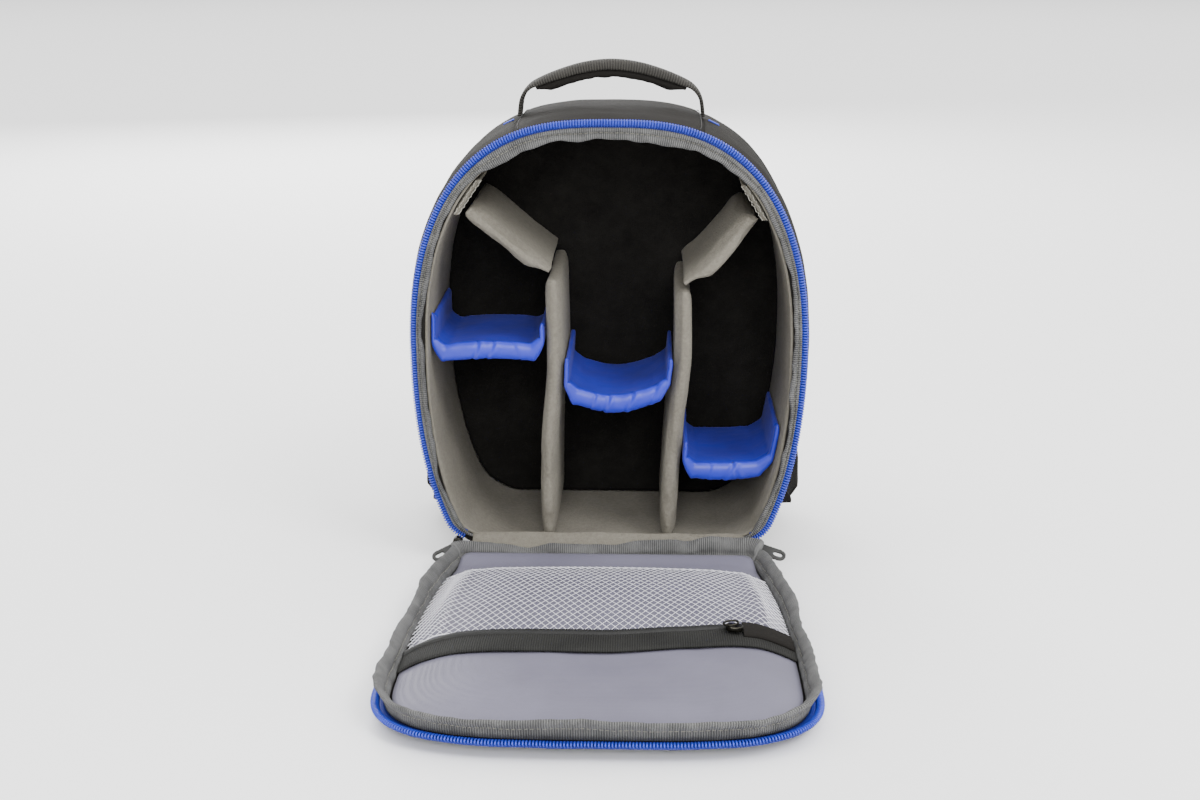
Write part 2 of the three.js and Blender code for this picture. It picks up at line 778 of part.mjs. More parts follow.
const flapUnder = FLAP_ROWS.slice(2).map(({ size, under }) => flapRing(size, FLAP_PAD_HEIGHT * under));
const flapOver = FLAP_ROWS.map(({ size, over }) => flapRing(size, FLAP_PAD_HEIGHT * over)).reverse();
addPiece('flap_panel', loftOutlines([...flapUnder, ...flapOver]), OUTER_CLOTH);

const liningEdge = 1 - (BINDING_THICKNESS + GAP) / (FLAP_WIDTH / 2);
const flapLiningSizes = [...FLAP_ROWS.slice(0, -1).map(({ size }) => size), liningEdge];
const flapLiningUnder = flapLiningSizes.map((size) => flapRing(size, flapHeight(size, 'over') + GAP));
const flapLiningOver = flapLiningSizes.map((size) => {
  return flapRing(size, flapHeight(size, 'over') + GAP + FLAP_LINING_THICKNESS);
}).reverse();
addPiece('flap_lining', loftOutlines([...flapLiningUnder, ...flapLiningOver]), SMOOTH_CLOTH);

// A place on the flap's edge: out from the seam outline and up from the ground
function flapEdgePoint(station, out, height) {
  const place = outlineAt(flapOutline, station);
  const offset = out - FLAP_SEAM_INSET;
  return new THREE.Vector3(place.x + place.nx * offset, FRONT - (place.up + place.nup * offset), height);
}

const flapEnd = stationAtHeight(flapOutline, HINGE_LENGTH + FLAP_CORNER);
const flapStations = stationsBetween(flapEnd, STATIONS - flapEnd);
const flapEdgeTop = FLAP_PAD_HEIGHT * FLAP_ROWS.at(-1).over;
const flapEdgeUnder = FLAP_PAD_HEIGHT * FLAP_ROWS.at(-1).under;

const bindingSize = 1 - BINDING_THICKNESS / (FLAP_WIDTH - 2 * FLAP_SEAM_INSET);
const bindingFoot = flapHeight(bindingSize, 'over') + GAP;

// Places of a standing seam over its foot: out from the foot and up from the ground
function standingSeam(wave, lean) {
  const height = FLAP_BINDING_HEIGHT + wave;
  return STANDING_SEAM_ROWS.map((row) => {
    const out = lean * row.lean + (BINDING_THICKNESS / 2) * row.side;
    return { out, height: bindingFoot + height * row.up };
  });
}

const flapBindingSections = flapStations.map((station) => {
  const wave = waveAt(FLAP_WAVES, station / STATIONS);
  const seam = standingSeam(wave, FLAP_BINDING_LEAN + WAVE_LEAN * wave);
  return seam.map(({ out, height }) => flapEdgePoint(station, out, height));
});
addPiece('flap_binding', loftSections(flapBindingSections), BINDING_TAPE);

// The zip half on the flap lies flat round its front and hangs down along its sides
function flapZipDroop(station) {
  const along = outlineAt(flapOutline, station).up;
  return FLAP_ZIP_DROOP * smoothStep((FLAP_WIDEST - along) / FLAP_ZIP_TWIST);
}

function flapZipSection(station, rows) {
  const droop = flapZipDroop(station);
  const start = GAP + ZIP_TAPE_THICKNESS / 2;
  const height = mix(flapEdgeTop, flapEdgeUnder, FLAP_ZIP_PLACE);
  return rows.map(({ out, rise }) => {
    const reach = out * Math.cos(droop) + rise * Math.sin(droop);
    const drop = out * Math.sin(droop) - rise * Math.cos(droop);
    return flapEdgePoint(station, start + reach, height - drop);
  });
}

const flapTapeReach = FLAP_SEAM_INSET - GAP;
const flapTapeRows = [
  { out: 0, rise: ZIP_TAPE_THICKNESS / 2 },
  { out: flapTapeReach, rise: ZIP_TAPE_THICKNESS / 2 },
  { out: flapTapeReach, rise: -ZIP_TAPE_THICKNESS / 2 },
  { out: 0, rise: -ZIP_TAPE_THICKNESS / 2 },
];
const flapTapeSections = flapStations.map((station) => flapZipSection(station, flapTapeRows));
addPiece('flap_zip_tape', loftSections(flapTapeSections), BLUE_ZIP);

const onFlapTape = ZIP_TAPE_THICKNESS / 2 + FLAP_COIL_CLEARANCE;
const flapCoilRows = FLAP_COIL_ROWS.map(({ reach, rise }) => {
  return { out: flapTapeReach + reach * ZIP_COIL_WIDTH, rise: onFlapTape + rise * ZIP_COIL_HEIGHT };
});
const flapCoilSections = flapStations.map((station) => flapZipSection(station, flapCoilRows));
addPiece('flap_zip_coil', loftSections(flapCoilSections), BLUE_ZIP);

// Hinge between the base and the flap

const hingeHalf = archHalfWidth(FLAP_ARCH, HINGE_LENGTH) - FLAP_CORNER;
const hingeColumns = 16;

function acrossHinge(section) {
  const sections = [];
  for (let k = 0; k <= hingeColumns; k++) {
    const x = mix(-hingeHalf, hingeHalf, k / hingeColumns);
    sections.push(section(k / hingeColumns).map(([y, z]) => new THREE.Vector3(x, y, z)));
  }
  return loftSections(sections);
}

const hingeSeam = FRONT - HINGE_LENGTH - FLAP_SEAM_INSET;
const hingeTop = [
  [FRONT - GAP, HINGE_HEIGHT + HINGE_LIP],
  [FRONT - HINGE_LENGTH / 2, HINGE_HEIGHT - HINGE_SAG],
  [hingeSeam + GAP, flapEdgeTop],
];
const hingeUnder = hingeTop.map(([y, z]) => [y, z - HINGE_STRIP_THICKNESS]).reverse();
addPiece('hinge_strip', acrossHinge(() => [...hingeTop, ...hingeUnder]), OUTER_CLOTH);

const hingeBinding = acrossHinge((share) => {
  const seam = standingSeam(waveAt(HINGE_WAVES, share), -HINGE_BINDING_LEAN);
  return seam.map(({ out, height }) => [hingeSeam - out, height]);
});
addPiece('hinge_binding', hingeBinding, BINDING_TAPE);

// Net pocket on the flap, its zip and the cover of the zip's end

// Half the width that lies free between the bound seams at a place along the flap
function flapHalfRoom(along) {
  return archHalfWidth(FLAP_ARCH, along) - FLAP_SEAM_INSET - BINDING_THICKNESS / 2 - 2 * GAP;
}

// A thin sheet over the flap lining, through rows from the hinge towards the flap's front
function flapSheet(rows, columns, height, thickness) {
  const sections = rows.map((row) => {
    const under = [];
    const over = [];
    for (let k = 0; k <= columns; k++) {
      const { x, along } = row(k / columns);
      const low = flapLiningTop(x, along) + height;
      under.push(new THREE.Vector3(x, FRONT - along, low));
      over.push(new THREE.Vector3(x, FRONT - along, low + thickness));
    }
    return [...over, ...under.reverse()];
  });
  return loftSections(sections);
}

const pocketTapeAlong = POCKET_MOUTH + POCKET_DEPTH;
const sheetColumns = 14;

// Place along the flap of the tape's edge that the net is sewn to
function tapeEdgeAlong(across) {
  return pocketTapeAlong + POCKET_DEPTH * lookUp(POCKET_TAPE_ROWS, 'across', across, 'shift');
}

// A row of points across the flap, between two shares of its free half width
function rowAcross(alongAt, from = -1, to = 1) {
  return (share) => {
    const across = mix(from, to, share);
    const along = alongAt(across);
    return { x: across * flapHalfRoom(along), along };
  };
}

function netRow(share) {
  return rowAcross((across) => {
    const mouth = POCKET_MOUTH + POCKET_MOUTH_BOW * across ** 2;
    return mix(mouth, tapeEdgeAlong(across) - GAP, share);
  });
}

function tapeRow(share, from, to) {
  return rowAcross((across) => tapeEdgeAlong(across) + POCKET_TAPE_WIDTH * share, from, to);
}

const netRows = [0, 0.25, 0.5, 0.75, 1].map(netRow);
addPiece('net_pocket', flapSheet(netRows, sheetColumns, POCKET_STAND_OFF, NET_THICKNESS), WHITE_NET);

const tapeStart = GAP / POCKET_TAPE_WIDTH;
const tapeRows = [tapeStart, 0.5, 1].map((share) => tapeRow(share));
const tapeSheet = flapSheet(tapeRows, sheetColumns, POCKET_TAPE_STAND_OFF, POCKET_TAPE_THICKNESS);
addPiece('pocket_zip_tape', tapeSheet, BLACK_ZIP);

const coilHalf = POCKET_COIL_WIDTH / POCKET_TAPE_WIDTH / 2;
const coverStart = 1 - POCKET_COVER_LENGTH / flapHalfRoom(pocketTapeAlong);
const sliderShare = SLIDER_LENGTH / flapHalfRoom(pocketTapeAlong);
const coilRows = [POCKET_COIL_PLACE - coilHalf, POCKET_COIL_PLACE + coilHalf].map((share) => {
  return tapeRow(share, -1, coverStart - sliderShare);
});
const onTape = POCKET_TAPE_STAND_OFF + POCKET_TAPE_THICKNESS + GAP;
addPiece('pocket_zip_coil', flapSheet(coilRows, sheetColumns, onTape, POCKET_COIL_HEIGHT), BLACK_ZIP);

const coverColumns = 6;
const coverEnd = 1 - GAP / flapHalfRoom(pocketTapeAlong);
const coverRows = POCKET_COVER_ROWS.map((share) => tapeRow(share, coverStart, coverEnd));
addPiece('pocket_zip_cover', flapSheet(coverRows, coverColumns, onTape, POCKET_COVER_THICKNESS), OUTER_CLOTH);

// A flat piece of even thickness, from its outline and the outlines of its holes
function extrudedPiece(outline, holes, thickness) {
  const shape = new THREE.Shape(outline);
  shape.holes = holes.map((hole) => new THREE.Path(hole));
  return new THREE.ExtrudeGeometry(shape, { depth: thickness, bevelEnabled: false, steps: 1 });
}

// Outline of a bar with round ends, round its own middle
function roundBar(length, width, arcSteps) {
  const points = [];
  const radius = width / 2;
  for (const [middle, start] of [[length / 2 - radius, -Math.PI / 2], [radius - length / 2, Math.PI / 2]]) {
    for (let k = 0; k <= arcSteps; k++) {
      const angle = start + (Math.PI * k) / arcSteps;
      points.push(new THREE.Vector2(middle + radius * Math.cos(angle), radius * Math.sin(angle)));
    }
  }
  return points;
}

function rectangle(length, width, middle = 0) {
  const [x, y] = [length / 2, width / 2];
  return [[-x, -y], [x, -y], [x, y], [-x, y]].map(([a, b]) => new THREE.Vector2(a, b + middle));
}

// The slider of the pocket zip, on the tape just before the cover, with its ring pull
const sliderPlace = tapeRow(POCKET_COIL_PLACE, coverStart - sliderShare / 2)(0);
const sliderGrounds = [-1, 1].map((end) => {
  return flapLiningTop(sliderPlace.x + (end * SLIDER_LENGTH) / 2, sliderPlace.along) + onTape;
});
const sliderGround = sliderGrounds[1];
const sliderTilt = Math.atan2(sliderGrounds[1] - sliderGrounds[0], SLIDER_LENGTH);
const sliderArcSteps = 5;
const sliderOutline = roundBar(SLIDER_LENGTH - 2 * GAP, SLIDER_WIDTH, sliderArcSteps);
const sliderBody = extrudedPiece(sliderOutline, [], SLIDER_HEIGHT);
const pocketSlider = addPiece('pocket_zip_slider', sliderBody, DARK_METAL);
const sliderLift = 0.5 * SLIDER_LENGTH * Math.abs(Math.sin(sliderTilt)) + GAP;
pocketSlider.position.set(sliderPlace.x, FRONT - sliderPlace.along, sliderGround + sliderLift);
pocketSlider.rotation.y = -sliderTilt;

const ringOutline = (radius) => {
  const points = [];
  const steps = 14;
  for (let k = 0; k < steps; k++) {
    const angle = (2 * Math.PI * k) / steps;
    points.push(new THREE.Vector2(radius * Math.cos(angle), radius * Math.sin(angle)));
  }
  return points;
};
const ringHole = ringOutline(RING_RADIUS - 2 * RING_WIRE);
const ringBody = extrudedPiece(ringOutline(RING_RADIUS), [ringHole], 2 * RING_WIRE);
const pocketRing = addPiece('pocket_zip_ring', ringBody, DARK_METAL);
pocketRing.position.set(
  sliderPlace.x - RING_RADIUS / 2,
  FRONT - sliderPlace.along,
  sliderGround + sliderLift + SLIDER_HEIGHT + GAP + 0.5 * RING_RADIUS * Math.sin(Math.abs(sliderTilt)),
);
pocketRing.rotation.y = -sliderTilt;

// Sliders and pulls of the main zip, where its halves meet at the hinge

const sliderRow = outlineAt(openingOutline, zipEnd);
const sliderUp = ZIP_END_HEIGHT - GAP - MAIN_SLIDER_LENGTH / 2 - MAIN_SLIDER_DROP;
const slotMiddle = PULL_LENGTH / 2 - PULL_SLOT_INSET;
const slotArcSteps = 4;
const pullArcSteps = 6;
const pullSlot = roundBar(PULL_SLOT_LENGTH, PULL_SLOT_WIDTH, slotArcSteps).map((point) => {
  return point.setX(point.x + slotMiddle);
});
for (const { side, name, turn, dip } of PULLS) {
  const outline = roundBar(MAIN_SLIDER_LENGTH, MAIN_SLIDER_WIDTH, sliderArcSteps);
  const body = extrudedPiece(outline, [], MAIN_SLIDER_HEIGHT);
  body.rotateX(Math.PI / 2);
  body.rotateY(Math.PI / 2);
  const slider = addPiece(`zip_slider_${name}`, body, DARK_METAL);
  const sliderX = side * (sliderRow.x - MAIN_SLIDER_WIDTH / 2);
  slider.position.set(sliderX, FRONT - 2 * GAP, sliderUp);
  const pull = extrudedPiece(roundBar(PULL_LENGTH, PULL_WIDTH, pullArcSteps), [pullSlot], PULL_THICKNESS);
  pull.translate((PULL_LENGTH - PULL_WIDTH) / 2, 0, -PULL_THICKNESS / 2);
  const tab = addPiece(`zip_pull_${name}`, pull, BLACK_PLASTIC);
  const tabFront = FRONT - MAIN_SLIDER_HEIGHT - 3 * GAP - PULL_WIDTH / 2;
  tab.position.set(sliderX, tabFront, sliderUp);
  tab.rotation.set(0, dip, side > 0 ? turn : Math.PI + turn);
}

// Padded dividers in the room of the shell

// Half the width of the room at a height
function roomHalfWidth(height) {
  for (let i = 1; i < STATIONS / 2; i++) {
    const [a, b] = [shellOutline[i], shellOutline[i + 1]];
    const lowUp = a.up - a.nup * ROOM_INSET;
    const highUp = b.up - b.nup * ROOM_INSET;
    if (lowUp <= height && highUp >= height && highUp > lowUp) {
      return mix(a.x - a.nx * ROOM_INSET, b.x - b.nx * ROOM_INSET, (height - lowUp) / (highUp - lowUp));
    }
  }
  return 0;
}

const ROOM_HALF = OPENING_WIDTH / 2 - ROOM_INSET;

// A pad between two long edges in the X-Z plane: each station gives both edges and its recess
function padSolid(stations, depth, rounding) {
  const sections = stations.map(({ a, b, recess = DIVIDER_RECESS }) => {
    const near = FRONT + recess;
    const thickness = Math.hypot(b.x - a.x, b.z - a.z);
    const round = Math.min(rounding, thickness / 2);
    const edge = PAD_EDGE_ROWS.map((row) => ({ inset: row.inset, y: row.depth * round }));
    const rows = [...edge, { inset: 0, y: depth - recess }];
    const at = (share, y) => {
      return new THREE.Vector3(mix(a.x, b.x, share), near + y, mix(a.z, b.z, share));
    };
    const one = rows.map(({ inset, y }) => at(inset, y));
    const other = rows.map(({ inset, y }) => at(1 - inset, y));
    return [...one, ...other.reverse()];
  });
  return loftSections(sections);
}

const padDepth = ROOM_BACK - GAP - FRONT;

// Both edges of a centre line with a thickness at each of its points
function edgesOfLine(points, thickness) {
  return points.map((point, i) => {
    const before = points[Math.max(i - 1, 0)];
    const after = points[Math.min(i + 1, points.length - 1)];
    const length = Math.hypot(after.x - before.x, after.z - before.z);
    const half = (typeof thickness === 'number' ? thickness : thickness(i)) / 2;
    const side = { x: ((after.z - before.z) / length) * half, z: (-(after.x - before.x) / length) * half };
    return {
      a: { x: point.x - side.x, z: point.z - side.z },
      b: { x: point.x + side.x, z: point.z + side.z },
      recess: point.recess,
    };
  });
}

function splineThrough(points, steps) {
  const curve = new THREE.SplineCurve(points.map(({ x, z }) => new THREE.Vector2(x, z)));
  return curve.getPoints(steps).map((point) => ({ x: point.x, z: point.y }));
}

const tallSteps = 12;

function tallDivider(rows) {
  const points = rows.map(({ across, up }) => ({ x: across * ROOM_HALF, z: up * OPENING_TOP }));
  points[0].z = ROOM_FLOOR + 2 * GAP;
  const line = splineThrough(points, tallSteps).map((point) => {
    const recess = DIVIDER_RECESS * lookUp(rows, 'up', point.z / OPENING_TOP, 'recess');
    return { ...point, recess };
  });
  return { line, edges: edgesOfLine(line, DIVIDER_THICKNESS) };
}

const tallLeft = tallDivider(TALL_LEFT_ROWS);
const tallRight = tallDivider(TALL_RIGHT_ROWS);
addPiece('tall_divider_left', padSolid(tallLeft.edges, padDepth, DIVIDER_THICKNESS / 2), LINING_CLOTH);
addPiece('tall_divider_right', padSolid(tallRight.edges, padDepth, DIVIDER_THICKNESS / 2), LINING_CLOTH);

// A sloping divider from the top of a tall one to the wall, where its tab turns up
const slopeSteps = 8;

function slopingDivider({ side, wall, sag, seat }, tall) {
  const end = tall.line.at(-1);
  const wallUp = wall * OPENING_TOP;
  const reach = roomHalfWidth(wallUp) - TAB_THICKNESS - 2 * GAP;
  const angle = Math.atan2(wallUp - end.z, reach - Math.abs(end.x));
  const rise = (DIVIDER_THICKNESS / 2) * Math.cos(angle);
  const run = (DIVIDER_THICKNESS / 2) * Math.sin(angle);
  const from = { x: end.x - side * seat * run, z: end.z + rise + 2 * GAP };
  const to = { x: side * (reach - run), z: wallUp };
  const length = Math.hypot(to.x - from.x, to.z - from.z);
  const middle = { x: mix(from.x, to.x, 0.5), z: mix(from.z, to.z, 0.5) - sag * length };
  return edgesOfLine(splineThrough([from, middle, to], slopeSteps), DIVIDER_THICKNESS);
}

// The tab that holds a divider's end to the wall, running up the wall
function wallTab(side, low, length, thickness) {
  const steps = 4;
  const edges = [];
  for (let k = 0; k <= steps; k++) {
    const z = low + (length * k) / steps;
    const wall = roomHalfWidth(z) - 2 * GAP;
    edges.push({ a: { x: side * (wall - thickness), z }, b: { x: side * wall, z } });
  }
  return edges;
}

for (const [name, tall] of [['left', tallLeft], ['right', tallRight]]) {
  const slope = SLOPES[name];
  const edges = slopingDivider(slope, tall);
  addPiece(`sloping_divider_${name}`, padSolid(edges, padDepth, DIVIDER_THICKNESS / 2), LINING_CLOTH);
  const low = slope.wall * OPENING_TOP - DIVIDER_THICKNESS / 4;
  const tab = wallTab(slope.side, low, TAB_LENGTH, TAB_THICKNESS);
  addPiece(`sloping_tab_${name}`, padSolid(tab, padDepth, TAB_THICKNESS / 2), LINING_CLOTH);
}

// Small shelves: a soft pad with a thin tab turned up at each end
function faceOfTall(tall, height, side) {
  const sorted = tall.edges.map(({ a, b }) => {
    const face = side > 0 ? (a.x > b.x ? a : b) : (a.x > b.x ? b : a);
    return { x: face.x, z: face.z };
  });
  return lookUp(sorted, 'z', height, 'x');
}

const shelfSteps = 7;
const tabSteps = 2;

function shelf(row, leftFace, rightFace) {
  const half = SHELF_TAB_THICKNESS / 2;
  const clear = 1.5 * GAP;
  const leftUp = row.left * OPENING_TOP;
  const rightUp = row.right * OPENING_TOP;
  const leftTop = leftUp + row.leftTab * OPENING_TOP;
  const rightTop = rightUp + row.rightTab * OPENING_TOP;
  const left = [];
  const right = [];
  for (let k = 0; k <= tabSteps; k++) {
    const leftZ = mix(leftTop, leftUp + SHELF_THICKNESS, k / tabSteps);
    const rightZ = mix(rightUp + SHELF_THICKNESS, rightTop, k / tabSteps);
    left.push({ x: leftFace(leftZ) + clear + half, z: leftZ });
    right.push({ x: rightFace(rightZ) - clear - half, z: rightZ });
  }
  const from = { x: leftFace(leftUp) + clear + SHELF_THICKNESS, z: leftUp };
  const to = { x: rightFace(rightUp) - clear - SHELF_THICKNESS, z: rightUp };
  const middle = [];
  for (let k = 0; k <= shelfSteps; k++) {
    const share = k / shelfSteps;
    const sag = row.sag * OPENING_TOP * Math.sin(Math.PI * share);
    middle.push({ x: mix(from.x, to.x, share), z: mix(from.z, to.z, share) - sag });
  }
  const tabEnd = tabSteps + 1;
  const line = [...left, ...middle, ...right];
  const thickness = (i) => {
    const inTab = i < tabEnd || i >= line.length - tabEnd;
    return inTab ? SHELF_TAB_THICKNESS : SHELF_THICKNESS;
  };
  const edges = edgesOfLine(line, thickness).map((edge) => ({ ...edge, recess: SHELF_RECESS }));
  return padSolid(edges, SHELF_DEPTH + SHELF_RECESS, SHELF_THICKNESS / 2);
}

const leftWall = (z) => -roomHalfWidth(z);
const rightWall = (z) => roomHalfWidth(z);
const tallFace = (tall, side) => (z) => faceOfTall(tall, z, side);
const shelfLeft = shelf(SHELVES.left, leftWall, tallFace(tallLeft, -1));
const shelfMiddle = shelf(SHELVES.middle, tallFace(tallLeft, 1), tallFace(tallRight, -1));
const shelfRight = shelf(SHELVES.right, tallFace(tallRight, 1), rightWall);
addPiece('blue_shelf_left', shelfLeft, BLUE_CLOTH);
addPiece('blue_shelf_middle', shelfMiddle, BLUE_CLOTH);
addPiece('blue_shelf_right', shelfRight, BLUE_CLOTH);

// Grab handle: webbing from seam to seam of the top, folded over a grip

// Height of the wall's outer face at a station and depth
function wallTop(station, y) {
  const depth = (y - FRONT) / (WALL_BACK - FRONT);
  const row = { opening: 0, bulge: lookUp(WALL_ROWS, 'depth', depth, 'bulge') };
  return wallPoint(station, row, true, 0);
}

const handleInnerSide = stationAtCrown(shellOutline, (HANDLE_SPAN - HANDLE_WEBBING_THICKNESS) / 2);
const handleFoot = wallPoint(handleInnerSide, { opening: 0, bulge: 1 }, true, 0).up + GAP;

function handlePoint(share) {
  const across = Math.abs(share);
  const up = lookUp(HANDLE_ROWS, 'across', across, 'up');
  return { x: (share * HANDLE_SPAN) / 2, z: handleFoot + HANDLE_RISE * up };
}

const handleRight = HANDLE_ROWS.map(({ across }) => across);
const handleShares = [...handleRight, ...handleRight.slice(0, -1).reverse().map((across) => -across)];
const handleLine = splineThrough(handleShares.map(handlePoint), 2 * (handleShares.length - 1));

// Stations of the handle with the direction away from the grip's hollow
const handleStations = handleLine.map((point, i) => {
  const before = handleLine[Math.max(i - 1, 0)];
  const after = handleLine[Math.min(i + 1, handleLine.length - 1)];
  const away = new THREE.Vector2(after.z - before.z, before.x - after.x).normalize().negate();
  const fold = lookUp(HANDLE_ROWS, 'across', Math.abs(point.x) / (HANDLE_SPAN / 2), 'fold');
  const foldUp = away.y < 0 ? away.negate() : away;
  return { ...point, away: foldUp, fold };
});
handleStations[0].away.set(1, 0);
handleStations.at(-1).away.set(-1, 0);

const foldedWidth = GRIP_WIDTH + 2 * GRIP_OVERHANG;

function handleSection({ x, z, away, fold }, rows) {
  return rows.map(([across, offset]) => {
    const drop = offset - HANDLE_FOLD * fold * across ** 2;
    const y = HANDLE_PLACE + (across * mix(HANDLE_WEBBING_WIDTH, foldedWidth, fold)) / 2;
    return new THREE.Vector3(x + away.x * drop, y, z + away.y * drop);
  });
}

const webHalf = HANDLE_WEBBING_THICKNESS / 2;
const webColumns = [-1, -0.6, 0, 0.6, 1];
const webRows = [
  ...webColumns.map((across) => [across, webHalf]),
  ...webColumns.map((across) => [across, -webHalf]).reverse(),
];
const webSections = handleStations.map((station) => handleSection(station, webRows));
addPiece('handle_webbing', loftSections(webSections), BLACK_WEBBING);

const gripStations = handleStations.filter(({ x }) => Math.abs(x) < GRIP_LENGTH / 2);
const gripSections = gripStations.map((station, i) => {
  const end = i === 0 || i === gripStations.length - 1;
  const thickness = end ? GRIP_END_THICKNESS : GRIP_THICKNESS;
  const top = -webHalf - 1.5 * GAP;
  const over = GRIP_ROWS.map(({ across }) => [across, top]);
  const under = GRIP_ROWS.map(({ across, deep }) => [across, top - deep * thickness]);
  return handleSection(station, [...over, ...under.reverse()]);
});
addPiece('handle_grip', loftSections(gripSections), OUTER_CLOTH);

// Shoulder straps on the back, with their adjusters, webbing and wing tabs

const backFace = BACK + BACK_SWELL;
const strapSteps = 12;
const webSteps = 15;

function strapPoint({ down, bow, spread, width }, side) {
  return {
    at: new THREE.Vector3(
      side * (STRAP_TOP_PLACE + STRAP_SPREAD * spread),
      backFace + GAP + STRAP_THICKNESS / 2 + STRAP_BOW * bow,
      mix(STRAP_TOP, STRAP_BOTTOM, down),
    ),
    width: width * STRAP_WIDTH,
  };
}

// Sections of a flat band along a route, square to it, its width square to the way outward
function bandSections(points, widths, thickness, outward, roundness = 0.5) {
  return points.map((point, i) => {
    const before = points[Math.max(i - 1, 0)];
    const after = points[Math.min(i + 1, points.length - 1)];
    const along = after.clone().sub(before).normalize();
    const side = new THREE.Vector3().crossVectors(outward(i / (points.length - 1)), along).normalize();
    const out = new THREE.Vector3().crossVectors(along, side);
    const width = typeof widths === 'number' ? widths : widths[i];
    const edge = roundness;
    const corners = [[-1, edge], [-0.86, 1], [0.86, 1], [1, edge]];
    const ring = [...corners, ...corners.map(([a, b]) => [a, -b]).reverse()];
    return ring.map(([a, b]) => {
      return point.clone().addScaledVector(side, (a * width) / 2).addScaledVector(out, (b * thickness) / 2);
    });
  });
}

for (const [side, name] of [[-1, 'left'], [1, 'right']]) {
  const rows = STRAP_ROWS.map((row) => strapPoint(row, side));
  const curve = new THREE.CatmullRomCurve3(rows.map(({ at }) => at));
  const widths = [];
  for (let k = 0; k <= strapSteps; k++) {
    const share = (k / strapSteps) * (rows.length - 1);
    const low = Math.min(Math.floor(share), rows.length - 2);
    widths.push(mix(rows[low].width, rows[low + 1].width, share - low));
  }
  const outward = new THREE.Vector3(0, 1, 0);
  const strapRoute = curve.getPoints(strapSteps);
  const strap = loftSections(bandSections(strapRoute, widths, STRAP_THICKNESS, () => outward, 0.35));
  addPiece(`shoulder_strap_${name}`, strap, OUTER_CLOTH);

  const end = strapRoute.at(-1);
  const along = end.clone().sub(strapRoute.at(-2)).normalize();
  const frame = extrudedPiece(
    rectangle(ADJUSTER_WIDTH, ADJUSTER_LENGTH),
    [1, -1].map((half) => {
      const windowLength = (ADJUSTER_LENGTH - 3 * ADJUSTER_BAR) / 2;
      const middle = half * (windowLength + ADJUSTER_BAR) / 2;
      return rectangle(ADJUSTER_WIDTH - 2 * ADJUSTER_BAR, windowLength, middle);
    }),
    ADJUSTER_THICKNESS,
  );
  frame.translate(0, 0, -ADJUSTER_THICKNESS / 2);
  const adjuster = addPiece(`strap_adjuster_${name}`, frame, BLACK_PLASTIC);
  const across = new THREE.Vector3().crossVectors(outward, along).normalize();
  const facing = new THREE.Vector3().crossVectors(across, along.clone().negate());
  adjuster.setRotationFromMatrix(new THREE.Matrix4().makeBasis(across, along.clone().negate(), facing));
  adjuster.position.copy(end).addScaledVector(along, ADJUSTER_LENGTH / 2 + GAP);

  // Wing tab: a triangle of cloth sewn to the lower side of the wall
  const wingStations = stationsBetween(
    stationAtHeight(shellOutline, WING_FOOT),
    stationAtHeight(shellOutline, WING_FOOT + WING_LENGTH),
  );
  const wingRoots = wingStations.map((station) => {
    const root = [WING_PLACE, WING_PLACE + WING_THICKNESS].map((y) => wallTop(station, y));
    const place = outlineAt(shellOutline, station);
    const far = root[0].x > root[1].x ? root[0] : root[1];
    return new THREE.Vector2(side * (far.x + 1.5 * GAP * place.nx), far.up + 1.5 * GAP * place.nup);
  });
  const wingTip = new THREE.Vector2(side * (OPENING_WIDTH / 2 + WING_REACH), WING_TIP_HEIGHT);
  const tipStub = wingTip.clone().add(new THREE.Vector2((-side * WING_TIP_WIDTH) / 5, WING_TIP_WIDTH));
  const wing = extrudedPiece([...wingRoots, tipStub, wingTip], [], WING_THICKNESS);
  wing.rotateX(Math.PI / 2);
  const wingTab = addPiece(`wing_tab_${name}`, wing, OUTER_CLOTH);
  wingTab.position.y = WING_PLACE + WING_THICKNESS;

  // Webbing from the wing tab round the shell's corner and up over the adjuster
  const start = new THREE.Vector3(
    wingTip.x - side * WEBBING_START.inward,
    WING_PLACE + WING_THICKNESS + WEBBING_START.outward,
    WING_TIP_HEIGHT + WEBBING_START.rise,
  );
  const bend = new THREE.Vector3(
    side * (OPENING_WIDTH / 2 - WEBBING_BEND.inward),
    BACK + WEBBING_BEND.outward,
    WING_TIP_HEIGHT + WEBBING_BEND.rise,
  );
  const overFrame = (ADJUSTER_THICKNESS + STRAP_WEBBING_THICKNESS) / 2 + 2 * GAP;
  const frameRoute = WEBBING_PLACES.map((share) => {
    const place = adjuster.position.clone().addScaledVector(along, share * ADJUSTER_LENGTH);
    return place.addScaledVector(facing, overFrame);
  });
  const webRoute = new THREE.CatmullRomCurve3([start, bend, ...frameRoute]);
  const sideward = new THREE.Vector3(side, WEBBING_BEND.slant, 0).normalize();
  const webOutward = (share) => {
    return sideward.clone().lerp(facing, smoothStep(WEBBING_BEND.twist * share)).normalize();
  };
  const webPoints = webRoute.getPoints(webSteps);
  const webbing = loftSections(
    bandSections(webPoints, STRAP_WEBBING_WIDTH, STRAP_WEBBING_THICKNESS, webOutward, 1),
  );
  addPiece(`strap_webbing_${name}`, webbing, BLACK_WEBBING);
}

export default backpack;
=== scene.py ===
"""Looks of a small camera backpack that stands open, with its front flap folded down.

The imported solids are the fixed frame. Each class here is one sub-assembly of the real bag:
it holds its sizes as fields, in millimetres in the part's own frame, and builds the fine
meshes that are seen instead of the plain solids. The finishes come from the real fabrics,
tapes, plastics and metal that such a bag is sewn from.
"""

from __future__ import annotations

import json
import logging
import math
from dataclasses import dataclass, field
from enum import Enum
from functools import cached_property
from typing import Callable, Iterable, Sequence

import bmesh
import bpy
import numpy as np
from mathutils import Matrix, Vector, noise

